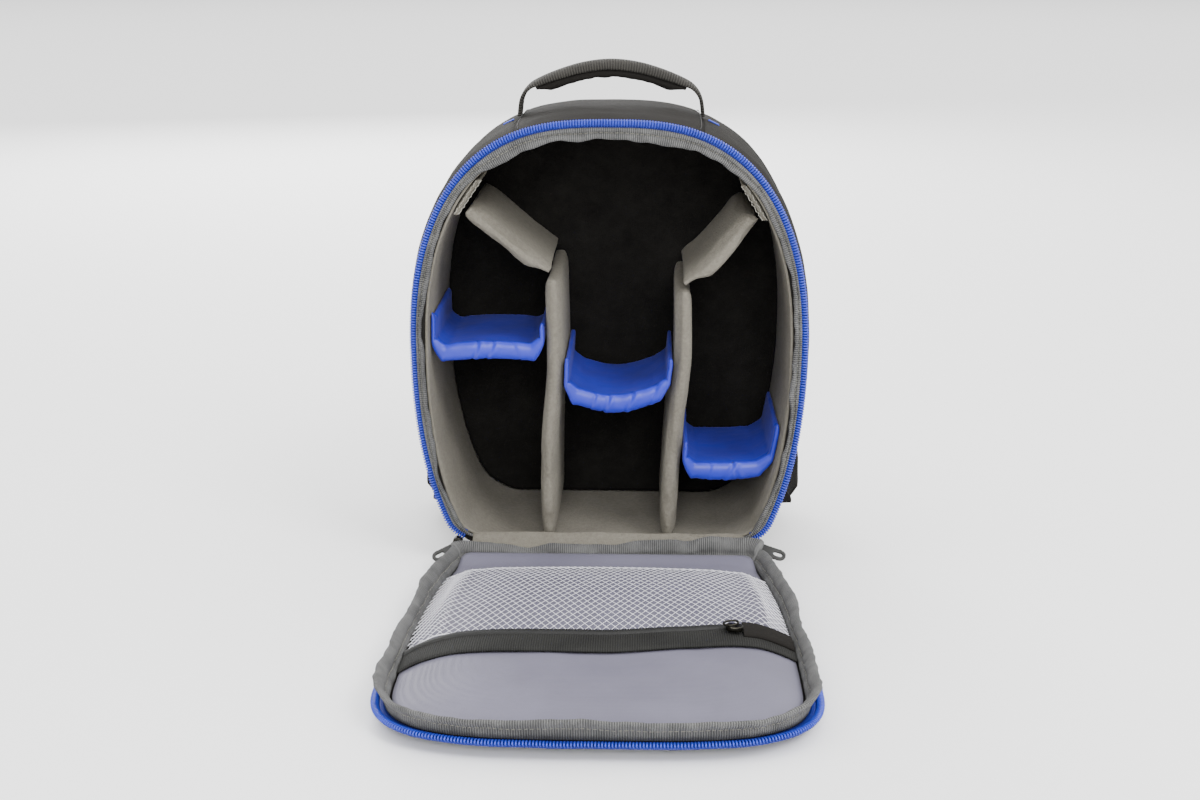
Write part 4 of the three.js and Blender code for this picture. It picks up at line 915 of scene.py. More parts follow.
@dataclass(frozen=True)
class Arch:
    """A rounded arch: a superellipse cut off at its foot, with rounded corners there."""

    half_width: float
    widest: float
    top: float
    foot: float
    reach: float
    corner: float
    crown_power: float
    crown_root: float
    side_power: float = 2.2
    side_root: float = 2.8

    def half_at(self, height: float | Array) -> Array:
        """Half its width at a height.

        Args:
            height: One height or many.

        Returns:
            Half the width at each.
        """
        height = np.asarray(height, float)
        above = height > self.widest
        reach = np.where(above, self.top - self.widest, self.reach)
        power = np.where(above, self.crown_power, self.side_power)
        root = np.where(above, self.crown_root, self.side_root)
        share = np.minimum(np.abs(height - self.widest) / reach, 1.0)
        return self.half_width * (1 - share**power) ** (1 / root)

    def outline(self, count: int = 480) -> Outline:
        """Divides its outline evenly.

        Args:
            count: How many points, an even number.

        Returns:
            The outline.
        """
        angle = np.linspace(0, np.pi / 2, 17)
        corner_up = self.foot + self.corner * (1 - np.cos(angle))
        corner_x = self.half_at(corner_up) - self.corner * (1 - np.sin(angle))
        rise = 1 - (1 - np.linspace(0, 1, 600)[1:]) ** 2.5
        side_up = self.foot + self.corner + (self.top - self.foot - self.corner) * rise
        half = np.vstack(
            [
                [[0.0, self.foot]],
                np.stack([corner_x, corner_up], axis=1),
                np.stack([self.half_at(side_up), side_up], axis=1),
            ]
        )
        along = lengths_along(half)
        at = np.linspace(0, along[-1], count // 2 + 1)
        right = np.stack([np.interp(at, along, half[:, k]) for k in (0, 1)], axis=1)
        left = right[-2:0:-1] * [-1, 1]
        points = np.vstack([right, left])
        run = unit(np.roll(points, -1, axis=0) - np.roll(points, 1, axis=0))
        return Outline(points, np.stack([run[:, 1], -run[:, 0]], axis=1))


@dataclass
class Shell:
    """Main form of the bag: walls, lining and back, in the sizes of the solids."""

    depth: float = 144.0
    width: float = 276.0
    top: float = 318.0
    hinge_height: float = 17.0
    wall: float = 9.5
    lip: float = 3.5
    bulge: float = 3.6
    back: float = 10.0
    lining: float = 1.5
    base_wrap: float = 24.0
    handle_span: float = 130.0
    depths: tuple[float, ...] = (0.0, 0.05, 0.13, 0.45, 0.75, 1.0)
    openings: tuple[float, ...] = (1.0, 0.45, 0.0, 0.0, 0.0, 0.0)
    bulges: tuple[float, ...] = (0.0, 0.35, 0.75, 1.0, 0.85, 0.1)
    shell: Outline = field(init=False)
    opening: Outline = field(init=False)

    def __post_init__(self) -> None:
        """Draws the outlines of the shell and of its opening."""
        sizes = dict(
            half_width=self.width / 2, widest=160.0, top=self.top, reach=200.0,
            crown_power=2.2, crown_root=2.8,
        )
        self.shell = Arch(foot=0.0, corner=26.0, **sizes).outline()
        self.opening = Arch(foot=self.hinge_height, corner=14.0, **sizes).outline()

    @property
    def front(self) -> float:
        """Place of the opening."""
        return -self.depth / 2

    @property
    def wall_back(self) -> float:
        """Place where the walls meet the padded back."""
        return self.depth / 2 - self.back - GAP

    @property
    def room_back(self) -> float:
        """Place of the lining at the back of the room."""
        return self.wall_back - self.lining - GAP

    def wall_point(self, share: Array, depth: Array, outer: bool, inset: float = 0.0) -> Array:
        """Points of the wall.

        Args:
            share: Places round the outline.
            depth: Places from the opening to the back, from 0 to 1, as many as the shares.
            outer: Whether they lie on the outer face.
            inset: How far inside the inner face they lie, where they aren't outer.

        Returns:
            The points.
        """
        shell, normal = self.shell.at(share)
        opening, _ = self.opening.at(share)
        down = np.clip(-normal[..., 1], 0, 1)
        opened = smooth_table(self.depths, self.openings, depth)
        bulged = smooth_table(self.depths, self.bulges, depth)
        wall = mix(self.wall, mix(self.wall, self.lip, opened), down)
        offset = self.bulge * bulged * (1 - down) if outer else -(wall + inset)
        flat = mix(shell, opening, opened[..., None]) + normal * np.asarray(offset)[..., None]
        y = mix(self.front, self.wall_back, depth)
        return np.stack([flat[..., 0], y, flat[..., 1]], axis=-1)


@dataclass
class Walls:
    """The four sewn panels round the shell, with the seams between them."""

    form: Shell
    rows: int = 36
    seam_dip: float = 1.3
    seam_width: float = 2.6
    wrinkle: float = 0.9
    stitch_inset: float = 3.2

    def panel(self, name: str, start: float, end: float, node: str) -> bpy.types.Object:
        """Makes one panel.

        Args:
            name: The piece's name.
            start: Where it begins, as a share of the outline.
            end: Where it ends.
            node: The plain solid that it stands for.

        Returns:
            The piece.
        """
        form = self.form
        length = form.shell.length
        gap = GAP / 2 / length
        count = max(int(length * (end - start) / 4.0), 12)
        shares = np.linspace(start + gap, end - gap, count + 1)
        depths = np.linspace(0, 1, self.rows)
        share, depth = np.meshgrid(shares, depths, indexing="ij")
        outer = form.wall_point(share, depth, True)
        shell, normal = form.shell.at(share)
        out = np.stack([normal[..., 0], np.zeros_like(depth), normal[..., 1]], axis=-1)
        edge = np.minimum(share - start, end - share) * length
        dip = -self.seam_dip * bell(edge / self.seam_width)
        free = smooth_step(depth / 0.15) * smooth_step((1 - depth) / 0.1) * smooth_step(shell[..., 1] / 30)
        soft = self.wrinkle * ripple(outer, 55.0) + 0.35 * ripple(outer, 17.0, 7.0)
        outer = outer + out * (dip + soft * free)[..., None]
        inner_depths = depths[::4][::-1]
        share, depth = np.meshgrid(shares, inner_depths, indexing="ij")
        inner = form.wall_point(share, depth, False)
        return dress(loft(name, np.concatenate([outer, inner], axis=1)), SHELL_POLYESTER, node)

    def build(self) -> None:
        """Makes the four panels and the stitching beside the seams of the top."""
        form = self.form
        foot = form.shell.share_at_height(form.base_wrap)
        crown = form.shell.share_at_crown(form.handle_span / 2)
        self.panel("shell_base", -foot, foot, "base_panel")
        self.panel("shell_side_right", foot, crown, "side_panel_right")
        self.panel("shell_top", crown, 1 - crown, "top_panel")
        self.panel("shell_side_left", 1 - crown, 1 - foot, "side_panel_left")
        depths = np.linspace(0.03, 0.97, 60)
        beside = crown + self.stitch_inset / form.shell.length
        for name, side in (("right", beside), ("left", 1 - beside)):
            line = form.wall_point(np.full(60, side), depths, True) + [0, 0, 0.15]
            stitches(f"top_seam_stitches_{name}", line, np.tile([0.0, 0, 1], (60, 1)), BLACK_THREAD)


def stitches(
    name: str, line: Array, up: Array, finish: Finish,
    length: float = 2.6, gap: float = 0.9, thick: float = 0.55,
) -> bpy.types.Object:
    """Sews a row of stitches along a line.

    Args:
        name: The piece's name.
        line: The points of the seam, on the cloth.
        up: The cloth's normal at each point.
        finish: The thread.
        length: The length of one stitch.
        gap: The gap between two.
        thick: The thickness of the thread.

    Returns:
        The piece.
    """
    places, ups = resample(line, [up], length + gap)
    x = np.array([-0.5, -0.42, -0.2, 0.2, 0.42, 0.5]) * length
    rise = np.array([-0.5, 0.0, 0.25, 0.25, 0.0, -0.5]) * thick
    path = np.stack([x, np.zeros(6), rise], axis=1)
    radii = np.array([0.25, 0.42, 0.5, 0.5, 0.42, 0.25]) * thick
    return dress(repeat(name, tube(path, radii, 6), places, axes_along(places, unit(ups))), finish)


@dataclass
class Back:
    """Padded back: foam under cloth, with a sewn border, and the charcoal lining inside it, its dark colour
    partly painted shade.
    """

    form: Shell
    voxel: float = 5.0
    pressure: float = 3.0
    cap: float = 2.5
    seam_size: float = 0.86
    seam_dip: float = 2.2
    channels: tuple[float, ...] = (88.0, 160.0, 232.0)
    channel_dip: float = 2.4

    def build(self) -> None:
        """Makes the back from its plain solid, then the lining of the room's back."""
        pad = remeshed("back_pad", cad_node("back_panel"), self.voxel, 3)
        inflate(pad, self.pressure, self.cap)
        points, normals = coordinates(pad), normals_of(pad)
        form = self.form
        faced = smooth_step((normals[:, 1] - 0.3) / 0.5)
        size = self.size_of(points)
        seam = bell((size - self.seam_size) / 0.012) * faced
        channels = sum(bell((points[:, 2] - z) / 4.0) for z in self.channels)
        inside = smooth_step((self.seam_size - 0.02 - size) / 0.05) * faced
        points[:, 1] -= self.seam_dip * seam + self.channel_dip * channels * inside
        points += normals * (0.4 * ripple(points, 30.0))[:, None]
        points[:, 2] = np.maximum(points[:, 2], 0.0)
        points[:, 1] = np.maximum(points[:, 1], form.wall_back + GAP)
        set_coordinates(pad, points)
        project_cloth(pad)
        dress(subdivide(pad), SHELL_POLYESTER, "back_panel")
        self.lining(form)

    def size_of(self, points: Array) -> Array:
        """How large the shell's outline is that passes through each point."""
        middle = self.form.top / 2
        flat = points[:, [0, 2]] - [0, middle]
        outline = self.form.shell.points - [0, middle]
        angles = np.arctan2(outline[:, 1], outline[:, 0])
        order = np.argsort(angles)
        radii = np.linalg.norm(outline, axis=1)
        own = np.interp(np.arctan2(flat[:, 1], flat[:, 0]), angles[order], radii[order], period=2 * np.pi)
        return np.linalg.norm(flat, axis=1) / own

    def lining(self, form: Shell) -> None:
        """Makes the charcoal lining at the back of the room, its dark colour partly painted shade of the deep
        room.
        """
        inset = form.wall + GAP
        outline = form.shell
        edge = outline.points[::4] - outline.normals[::4] * inset
        middle = np.array([0, form.top / 2])
        rings = []
        for size in (1.0, 0.97, 0.9, 0.78, 0.6, 0.4, 0.2, 0.05):
            flat = middle + (edge - middle) * size
            point = np.stack([flat[:, 0], np.full(len(flat), form.room_back), flat[:, 1]], axis=1)
            swell = 0.5 * ripple(point, 45.0) * (size < 0.97) - 0.4 * (size < 0.97)
            rings.append(point + np.stack([0 * swell, swell, 0 * swell], axis=1))
        back = [ring + [0, form.lining, 0] for ring in (rings[0], rings[-1])]
        lining = loft("back_lining_cloth", np.array([*reversed(rings), *back]))
        # charcoal loop cloth whose dark colour is partly painted shade of the deep room
        dress(lining, LOOP_CHARCOAL_PAINTED_SHADE, "back_lining")


@dataclass
class RoomLining:
    """Loop lining round the walls of the room, with the slack of sewn cloth."""

    form: Shell
    rows: int = 26
    slack: float = 1.1

    def build(self) -> None:
        """Makes the lining."""
        form = self.form
        shares = np.arange(260) / 260
        end = (form.room_back - GAP - form.front) / (form.wall_back - form.front)
        share, depth = np.meshgrid(shares, np.linspace(0.0, end, self.rows), indexing="ij")
        near = form.wall_point(share, depth, False, GAP + form.lining)
        far = form.wall_point(share, depth, False, GAP)
        _, normal = form.shell.at(share)
        inward = -np.stack([normal[..., 0], 0 * depth, normal[..., 1]], axis=-1)
        free = smooth_step(depth / 0.12) * (1 - np.clip(-normal[..., 1], 0, 1))
        wide, fine = ripple(near * [1, 0.45, 1], 34.0, 3.0), ripple(near, 11.0, 9.0)
        slack = self.slack * (0.35 + 0.5 * wide + 0.25 * fine)
        near = near + inward * (slack * free)[..., None]
        lining = loft("room_lining", np.concatenate([near, far[:, ::-1]], axis=1), closed=True)
        dress(lining, LOOP_LINING, "wall_lining")


# Zips and bound seams


@dataclass(frozen=True)
class Coil:
    """One half of a nylon coil zip: a wire loop over the tape's edge at every pitch."""

    pitch: float = 1.9
    reach: float = 4.4
    height: float = 2.3
    wire: float = 1.15

    def loop(self) -> tuple[Array, list[list[int]]]:
        """One loop: X along the zip, Y out over the edge, Z up from the tape."""
        out = np.array([-0.58, -0.45, -0.1, 0.25, 0.42, 0.4, 0.25]) * self.reach
        up = np.array([0.12, 0.62, 0.86, 0.8, 0.45, 0.12, 0.0]) * self.height
        lean = np.array([-0.1, -0.05, 0.0, 0.05, 0.0, -0.1, -0.2]) * self.wire
        path = np.stack([lean, out, up], axis=1)
        radii = np.array([0.36, 0.46, 0.5, 0.52, 0.54, 0.5, 0.4]) * self.wire
        return tube(path, radii, 6)

    def build(self, name: str, line: Array, out: Array, up: Array, node: str) -> bpy.types.Object:
        """Sets the loops along a tape's edge.

        Args:
            name: The piece's name.
            line: The points of the coil's middle, on the tape.
            out: The way over the tape's edge at each point.
            up: The way up from the tape at each point.
            node: The plain solid that the coil stands for.

        Returns:
            The piece.
        """
        places, outs, ups = resample(line, [out, up], self.pitch)
        outs = unit(outs)
        ups = unit(ups - outs * np.sum(ups * outs, axis=1, keepdims=True))
        axes = np.stack([np.cross(outs, ups), outs, ups], axis=1)
        return dress(repeat(name, self.loop(), places, axes), BLUE_COIL, node)


@dataclass
class OpeningSeam:
    """The shell's half of the main zip, and the grosgrain that binds the seam inside it."""

    form: Shell
    coil: Coil = Coil()
    tape_width: float = 6.2
    tape: float = 1.1
    binding_start: tuple[float, float] = (3.7, 4.8)
    binding_width: tuple[float, float] = (5.6, 8.6)
    binding_end: float = 98.0
    binding: float = 2.8
    end_height: float = 19.0
    wave_rows: tuple[tuple[float, float, float], ...] = ((0.8, 9, 0.1), (0.5, 17, 0.4))

    def sections(self, shares: Array, insets: Sequence[Array | float], rises: Sequence[Array | float]) -> Array:
        """Sections on the front of the opening.

        Args:
            shares: Places round the opening.
            insets: How far inside its outline each point of a section lies.
            rises: How far in front of the shell each point lies.

        Returns:
            One section for each share.
        """
        place, normal = self.form.opening.at(shares)
        made = []
        for inset, rise in zip(insets, rises):
            inset = np.broadcast_to(inset, shares.shape)
            flat = place - normal * inset[:, None]
            y = self.form.front - np.broadcast_to(rise, shares.shape)
            made.append(np.stack([flat[:, 0], y, flat[:, 1]], axis=1))
        return np.stack(made, axis=1)

    def build(self) -> None:
        """Makes the tape, its coil, the binding and the binding's stitches."""
        start = self.form.opening.share_at_height(self.end_height)
        shares = np.linspace(start, 1 - start, 700)
        low, high = GAP, GAP + self.tape
        width = self.tape_width
        tape = self.sections(
            shares,
            [0, 0.4, 2.6, 4.4, width, width, 0],
            [0.5 * (low + high), high, high - 0.1, high, high, low, low],
        )
        dress(loft("opening_tape", tape), BLUE_TAPE, "opening_zip_tape")
        _, normal = self.form.opening.at(shares)
        out = np.stack([normal[:, 0], 0 * shares, normal[:, 1]], axis=1)
        line = self.sections(shares, [1.45], [high])[:, 0]
        up = np.tile([0.0, -1.0, 0.0], (len(shares), 1))
        self.coil.build("opening_coil", line, out, up, "opening_zip_coil")
        foot = self.binding_end / self.form.opening.length
        self.bind(np.linspace(foot, 1 - foot, 760), high)

    def bind(self, shares: Array, ground: float) -> None:
        """Makes the puckered binding that lies on the tape, and its stitches.

        Args:
            shares: Places round the opening.
            ground: How far in front of the shell the tape's face lies.
        """
        length = self.form.opening.length
        place, normal = self.form.opening.at(shares)
        at = np.stack([place[:, 0], np.zeros(len(shares)), place[:, 1]], axis=1)
        crown = smooth_step((normal[:, 1] - 0.45) / 0.45)
        width = mix(*self.binding_width, crown) + waves(self.wave_rows, shares) + 1.4 * ripple(at, 15.0, 4.0)
        from_end = np.minimum(shares - shares[0], shares[-1] - shares) * length
        width *= mix(0.25, 1.0, smooth_step(from_end / 22))
        start, low = mix(*self.binding_start, crown), ground + GAP
        steps = [0.0, 0.05, 0.15, 0.28, 0.37, 0.42, 0.47, 0.56, 0.68, 0.8, 0.9, 0.97, 1.0]
        rises = [0.3, 0.75, 1.0, 0.95, 0.7, 0.45, 0.7, 1.05, 1.25, 1.25, 1.1, 0.85, 0.5]
        wobble = 0.6 * ripple(at, 7.0, 33.0)
        insets = [start + step * width + wobble * smooth_step((step - 0.5) / 0.5) for step in steps]
        tops = []
        for step, rise in zip(steps, rises):
            spot = at + np.array([0.0, step * 9.0, 0.0])
            folds = 0.45 * ripple(spot, 7.0, 21.0) + 0.35 * ripple(spot * [1, 0.4, 1], 13.0, 25.0)
            tops.append(low + self.binding * np.maximum(rise * 1.1 + folds * min(step * 3, 1.0), 0.0))
        front = self.sections(shares, insets, tops)
        lip = [start + 0.9 * width, start + 0.6 * width, start + 0.3 * width, start + 0 * width]
        under = self.sections(shares, lip, [low + 0.25 * self.binding, *[low + 0 * width] * 3])
        binding = loft("opening_binding_tape", np.concatenate([front, under], axis=1))
        dress(binding, GROSGRAIN, "opening_binding")
        seam = self.sections(shares, [insets[5]], [tops[5] + 0.15])[:, 0]
        up = np.tile([0.0, -1.0, 0.0], (len(shares), 1))
        stitches("opening_binding_stitches", seam, up, GREY_THREAD, thick=0.45)


@dataclass
class FlapForm:
    """Main form of the flap that lies in front of the shell."""

    form: Shell
    hinge: float = 20.0
    length: float = 282.0
    take_in: float = 14.0
    widest: float = 235.0
    seam_inset: float = 8.0
    pad: float = 20.0
    lining: float = 1.2
    corner: float = 12.0
    sizes: tuple[float, ...] = (0.0, 0.15, 0.5, 0.76, 0.92, 1.0)
    unders: tuple[float, ...] = (0.0, 0.0, 0.0, 0.0, 0.15, 0.31)
    overs: tuple[float, ...] = (1.0, 1.0, 0.94, 0.8, 0.62, 0.46)
    arch: Arch = field(init=False)
    outline: Outline = field(init=False)

    def __post_init__(self) -> None:
        """Draws the flap's outline."""
        self.arch = Arch(
            (self.form.width - self.take_in) / 2, self.widest, self.hinge + self.length, self.hinge,
            328.0, self.corner, 2.6, 3.7,
        )
        self.outline = self.arch.outline()

    @property
    def middle(self) -> float:
        """How far the flap's middle lies in front of the opening."""
        return self.hinge + self.length / 2

    def over(self, size: float | Array) -> Array:
        """Height of the pad's upper side where the seam outline has a size."""
        return self.pad * smooth_table(self.sizes, self.overs, np.clip(size, 0, 1))

    def under(self, size: float | Array) -> Array:
        """Height of the pad's under side where the seam outline has a size."""
        return self.pad * smooth_table(self.sizes, self.unders, np.clip(size, 0, 1))

    def ring(self, size: float, height: float | Array, shares: Array) -> Array:
        """The seam outline at a size and a height."""
        place, normal = self.outline.at(shares)
        seam = place - normal * self.seam_inset
        x = seam[:, 0] * size
        y = self.form.front - (self.middle + (seam[:, 1] - self.middle) * size)
        return np.stack([x, y, np.broadcast_to(height, x.shape)], axis=1)

    def size_at(self, x: Array, along: Array) -> Array:
        """Size of the seam outline that passes through each point of the flap.

        Args:
            x: Places across the flap.
            along: Places along it, from the opening.

        Returns:
            The sizes, 1 at the seam.
        """
        place, normal = self.outline.points, self.outline.normals
        seam = place - normal * self.seam_inset - [0, self.middle]
        angles = np.arctan2(seam[:, 1], seam[:, 0])
        order = np.argsort(angles)
        radii = np.linalg.norm(seam, axis=1)
        up = along - self.middle
        own = np.interp(np.arctan2(up, x), angles[order], radii[order], period=2 * np.pi)
        return np.hypot(x, up) / own

    def lining_top(self, x: Array, along: Array) -> Array:
        """Height of the lining's face at points of the flap."""
        return self.over(self.size_at(x, along)) + GAP + self.lining

    def edge(self, shares: Array, out: float | Array, height: float | Array) -> Array:
        """Points on the flap's edge, out from its seam and up from the ground."""
        place, normal = self.outline.at(shares)
        offset = np.broadcast_to(np.asarray(out) - self.seam_inset, shares.shape)
        flat = place + normal * offset[:, None]
        height = np.broadcast_to(height, shares.shape)
        return np.stack([flat[:, 0], self.form.front - flat[:, 1], height], axis=1)

    def half_room(self, along: Array) -> Array:
        """Half the width that lies free between the bound seams."""
        return self.arch.half_at(along) - self.seam_inset - 1.4 - 2 * GAP


@dataclass
class Flap:
    """The flap's own layers: padded cloth outside, smooth nylon inside."""

    flap: FlapForm
    wrinkle: float = 0.9
    rise: float = 7.5

    def build(self) -> None:
        """Makes the padded panel and the smooth lining."""
        flap = self.flap
        shares = np.arange(300) / 300
        under = [flap.ring(s, flap.under(s), shares) for s in (0.5, 0.76, 0.84, 0.92, 0.97, 1.0)]
        over = [flap.ring(s, flap.over(s), shares) for s in (1.0, 0.95, 0.85, 0.6, 0.3)]
        rings = np.array([*under, *over])
        quilt = 0.6 * ripple(rings, 40.0, 2.0)
        quilt[6:] = 0
        quilt[:2] = 0
        rings[..., 2] += quilt
        dress(loft("flap_outer", rings), SHELL_POLYESTER, "flap_panel")
        self.lining(shares)

    def lining(self, shares: Array) -> None:
        """Makes the smooth lining, with the soft waves of cloth over foam."""
        flap = self.flap
        edge = 1 - 3.1 / (flap.arch.half_width)
        sizes = [0.02, 0.06, *np.linspace(0.1, edge - 0.02, 30), edge]
        rings = np.array([flap.ring(s, flap.over(s) + GAP + flap.lining, shares) for s in sizes])
        size = np.array(sizes)[:, None]
        soft = self.wrinkle * ripple(rings * [0.7, 1, 1], 38.0, 5.0) + 0.3 * ripple(rings, 14.0, 8.0)
        creases = self.creases(rings)
        rings[..., 2] += np.maximum((soft + creases) * smooth_step((edge - size) / 0.08), -0.9)
        along = flap.form.front - rings[..., 1]
        rings[..., 2] += self.rise * smooth_step((flap.hinge + 32 - along) / 22) ** 1.5
        under = np.array([flap.ring(s, flap.over(s) + GAP, shares) for s in (sizes[-1], 0.5, 0.02)])
        lining = loft("flap_lining_cloth", np.concatenate([rings, under]))
        dress(lining, SMOOTH_NYLON, "flap_lining")

    def creases(self, points: Array) -> Array:
        """Long shallow creases near the hinge, where the lining buckles."""
        along = self.flap.form.front - points[..., 1]
        x = points[..., 0]
        rows = ((44.0, 0.05, 0.7), (53.0, -0.07, 0.5), (262.0, 0.02, 0.6), (38.0, 0.0, 0.5))
        return sum(h * bell((along - a - slant * x) / 4.0) * bell(x / 90.0) for a, slant, h in rows)


@dataclass
class FlapSeam:
    """The flap's half of the main zip, and the bound seam that stands up round it."""

    flap: FlapForm
    coil: Coil = Coil()
    thickness: float = 2.8
    height: float = 13.0
    lean: float = 5.0
    tape: float = 1.1
    droop: float = 1.05
    level_until: tuple[float, float] = (170.0, 198.0)
    twist: float = 110.0
    place: float = 0.45
    lift: float = 0.9
    hinge_lean: float = 5.5
    hinge_full: float = 1.4
    hinge_lip: float = 3.5
    strip: float = 2.0
    sag: float = 1.0
    wave_rows: tuple[tuple[float, float, float], ...] = ((1.3, 6, 0.2), (0.7, 13, 0.55))
    hinge_rows: tuple[tuple[float, float, float], ...] = ((3.6, 0.6, 0.62), (1.2, 3.4, 0.1))

    @property
    def foot(self) -> float:
        """Height where the standing seam is sewn to the flap."""
        size = 1 - self.thickness / (2 * self.flap.arch.half_width - 2 * self.flap.seam_inset)
        return float(self.flap.over(size)) + GAP

    def standing(
        self, wave: Array, lean: Array, folds: Array, full: float = 1.0
    ) -> list[tuple[Array, Array]]:
        """A standing seam's section, out from its foot and up from the ground.

        Args:
            wave: How much higher than usual it stands at each place.
            lean: How far its top leans out.
            folds: How far small folds push its middle out.
            full: How much thicker than usual it is.

        Returns:
            Out and height for each point of the section, up inside and down outside.
        """
        half = self.thickness / 2 * full
        rows = (
            (0.0, 0.0, -1.0, 0.0), (0.15, 0.03, -1.2, 0.5), (0.3, 0.1, -1.5, 0.9), (0.42, 0.18, -1.2, 1.0),
            (0.5, 0.26, -0.6, 1.0), (0.58, 0.36, -1.2, 1.0), (0.7, 0.52, -1.6, 1.0), (0.82, 0.7, -1.5, 0.9),
            (0.93, 0.9, -1.1, 0.8), (1.0, 1.0, -0.4, 0.8), (1.01, 1.05, 0.4, 0.8), (0.95, 1.0, 1.1, 0.8),
            (0.82, 0.76, 1.5, 0.9), (0.7, 0.55, 1.6, 1.0), (0.58, 0.36, 1.2, 1.0), (0.5, 0.26, 0.6, 1.0),
            (0.42, 0.18, 1.2, 1.0), (0.25, 0.08, 1.4, 0.8), (0.0, 0.0, 1.0, 0.0),
        )
        height = self.height + wave
        spot = np.arange(len(lean)) * 1.1
        made = []
        for up, leaned, side, share in rows:
            at = np.stack([spot, np.full(len(spot), 9.0 * up), np.full(len(spot), 1.5 * side)], axis=1)
            small = 0.55 * ripple(at, 6.0, 71.0) + 0.5 * ripple(at * [1, 0.5, 1], 12.0, 73.0)
            made.append((lean * leaned + half * side + (folds + small) * share, self.foot + height * up))
        return made

    def build(self) -> None:
        """Makes the standing binding, the zip half, the hinge and its binding."""
        flap = self.flap
        end = flap.outline.share_at_height(flap.hinge + flap.corner)
        self.bind_flap(np.linspace(end * 0.87, 1 - end * 0.87, 760))
        self.zip_half(np.linspace(end, 1 - end, 700))
        self.hinge(end)

    def bind_flap(self, shares: Array) -> None:
        """Makes the binding that stands up round the flap, and its stitches."""
        flap = self.flap
        at = flap.edge(shares, 0.0, 0.0)
        wave = waves(self.wave_rows, shares) + 0.5 * ripple(at, 12.0, 6.0)
        lean = self.lean + 0.6 * waves(self.wave_rows, shares) + 1.2 * ripple(at, 30.0, 12.0)
        folds = 0.8 * ripple(at, 10.0, 14.0) + 0.5 * ripple(at, 5.0, 15.0)
        section = self.standing(wave, lean, folds)
        rings = np.stack([flap.edge(shares, out, height) for out, height in section], axis=1)
        dress(loft("flap_binding_tape", rings), GROSGRAIN, "flap_binding")
        for name, row, side in (("outer", 15, 1.0), ("inner", 4, -1.0)):
            line = rings[:, row]
            _, normal = flap.outline.at(shares)
            up = np.stack([normal[:, 0], -normal[:, 1], 0 * shares + 0.3], axis=1) * side
            stitches(f"flap_binding_stitches_{name}", line + up * 0.1, up, GREY_THREAD, thick=0.45)

    def zip_half(self, shares: Array) -> None:
        """Makes the tape and coil: flat round the flap's front, hanging along its sides."""
        flap = self.flap
        place, _ = flap.outline.at(shares)
        until = np.where(place[:, 0] < 0, *self.level_until)
        droop = self.droop * smooth_step((until - place[:, 1]) / self.twist)
        start = GAP + self.tape / 2
        middle = float(mix(flap.over(1.0), flap.under(1.0), self.place)) + self.lift
        far = flap.seam_inset - GAP
        soft = 0.5 * ripple(flap.edge(shares, 0.0, 0.0), 24.0, 17.0)

        def at(out: float, rise: float) -> Array:
            """Points of the zip half: out over the flap's edge and up from the tape."""
            reach = out * np.cos(droop) + rise * np.sin(droop)
            drop = out * np.sin(droop) - rise * np.cos(droop)
            return flap.edge(shares, start + reach, middle - drop + soft * out / far)

        half = self.tape / 2
        edge = far - 0.3
        rows = ((0, half), (2.5, half), (4.6, half), (edge, half), (far, 0), (edge, -half), (0, -half))
        dress(loft("flap_tape", np.stack([at(*row) for row in rows], axis=1)), BLUE_TAPE, "flap_zip_tape")
        line = at(far - 1.2, half + 0.15)
        out = at(far, 0) - at(0, 0)
        up = at(0, 1) - at(0, 0)
        self.coil.build("flap_coil", line, out, up, "flap_zip_coil")

    def hinge(self, end: float) -> None:
        """Makes the cloth strip that the flap turns on, and the binding along it.

        Args:
            end: Where the outline's foot corner ends, as a share of the outline.
        """
        flap, front = self.flap, self.flap.form.front
        half = float(flap.arch.half_at(flap.hinge)) - flap.corner
        x = np.linspace(-half, half, 130)
        seam = front - flap.hinge - flap.seam_inset
        edge_top = float(flap.over(1.0))
        top = np.array(
            [
                [front + 2.0, flap.form.hinge_height + self.hinge_lip + 2.1],
                [front - GAP, flap.form.hinge_height + self.hinge_lip + 1.2],
                [front - flap.hinge / 2, flap.form.hinge_height - self.sag],
                [seam + GAP, edge_top],
            ]
        )
        profile = spline(top, 12)
        rows = np.vstack([profile, (profile - [0, self.strip])[::-1]])
        sections = np.array([[[a, y, z] for y, z in rows] for a in x])
        sections[..., 2] += 0.7 * ripple(sections * [1, 0.3, 0.3], 16.0, 19.0)
        dress(loft("hinge_cloth", sections), LOOP_LINING, "hinge_strip")
        shares = np.linspace(-end * 0.965, end * 0.965, 230)
        at = flap.edge(shares, 0.0, 0.0)
        share = np.clip((at[:, 0] + half) / (2 * half), 0, 1)
        corner = smooth_step((np.abs(at[:, 0]) - half + 8) / 14)
        wave = waves(self.hinge_rows, share) + 1.6 * ripple(at, 16.0, 23.0) + 1.0 * corner + 2.0
        folds = 2.2 * ripple(at, 13.0, 24.0) + 0.9 * ripple(at, 5.0, 26.0) - 1.0 * corner
        section = self.standing(wave, np.full_like(share, self.hinge_lean), folds, self.hinge_full)
        rings = np.stack([flap.edge(shares, out, height) for out, height in section], axis=1)
        dress(loft("hinge_binding_tape", rings), GROSGRAIN, "hinge_binding")


# Net pocket on the flap


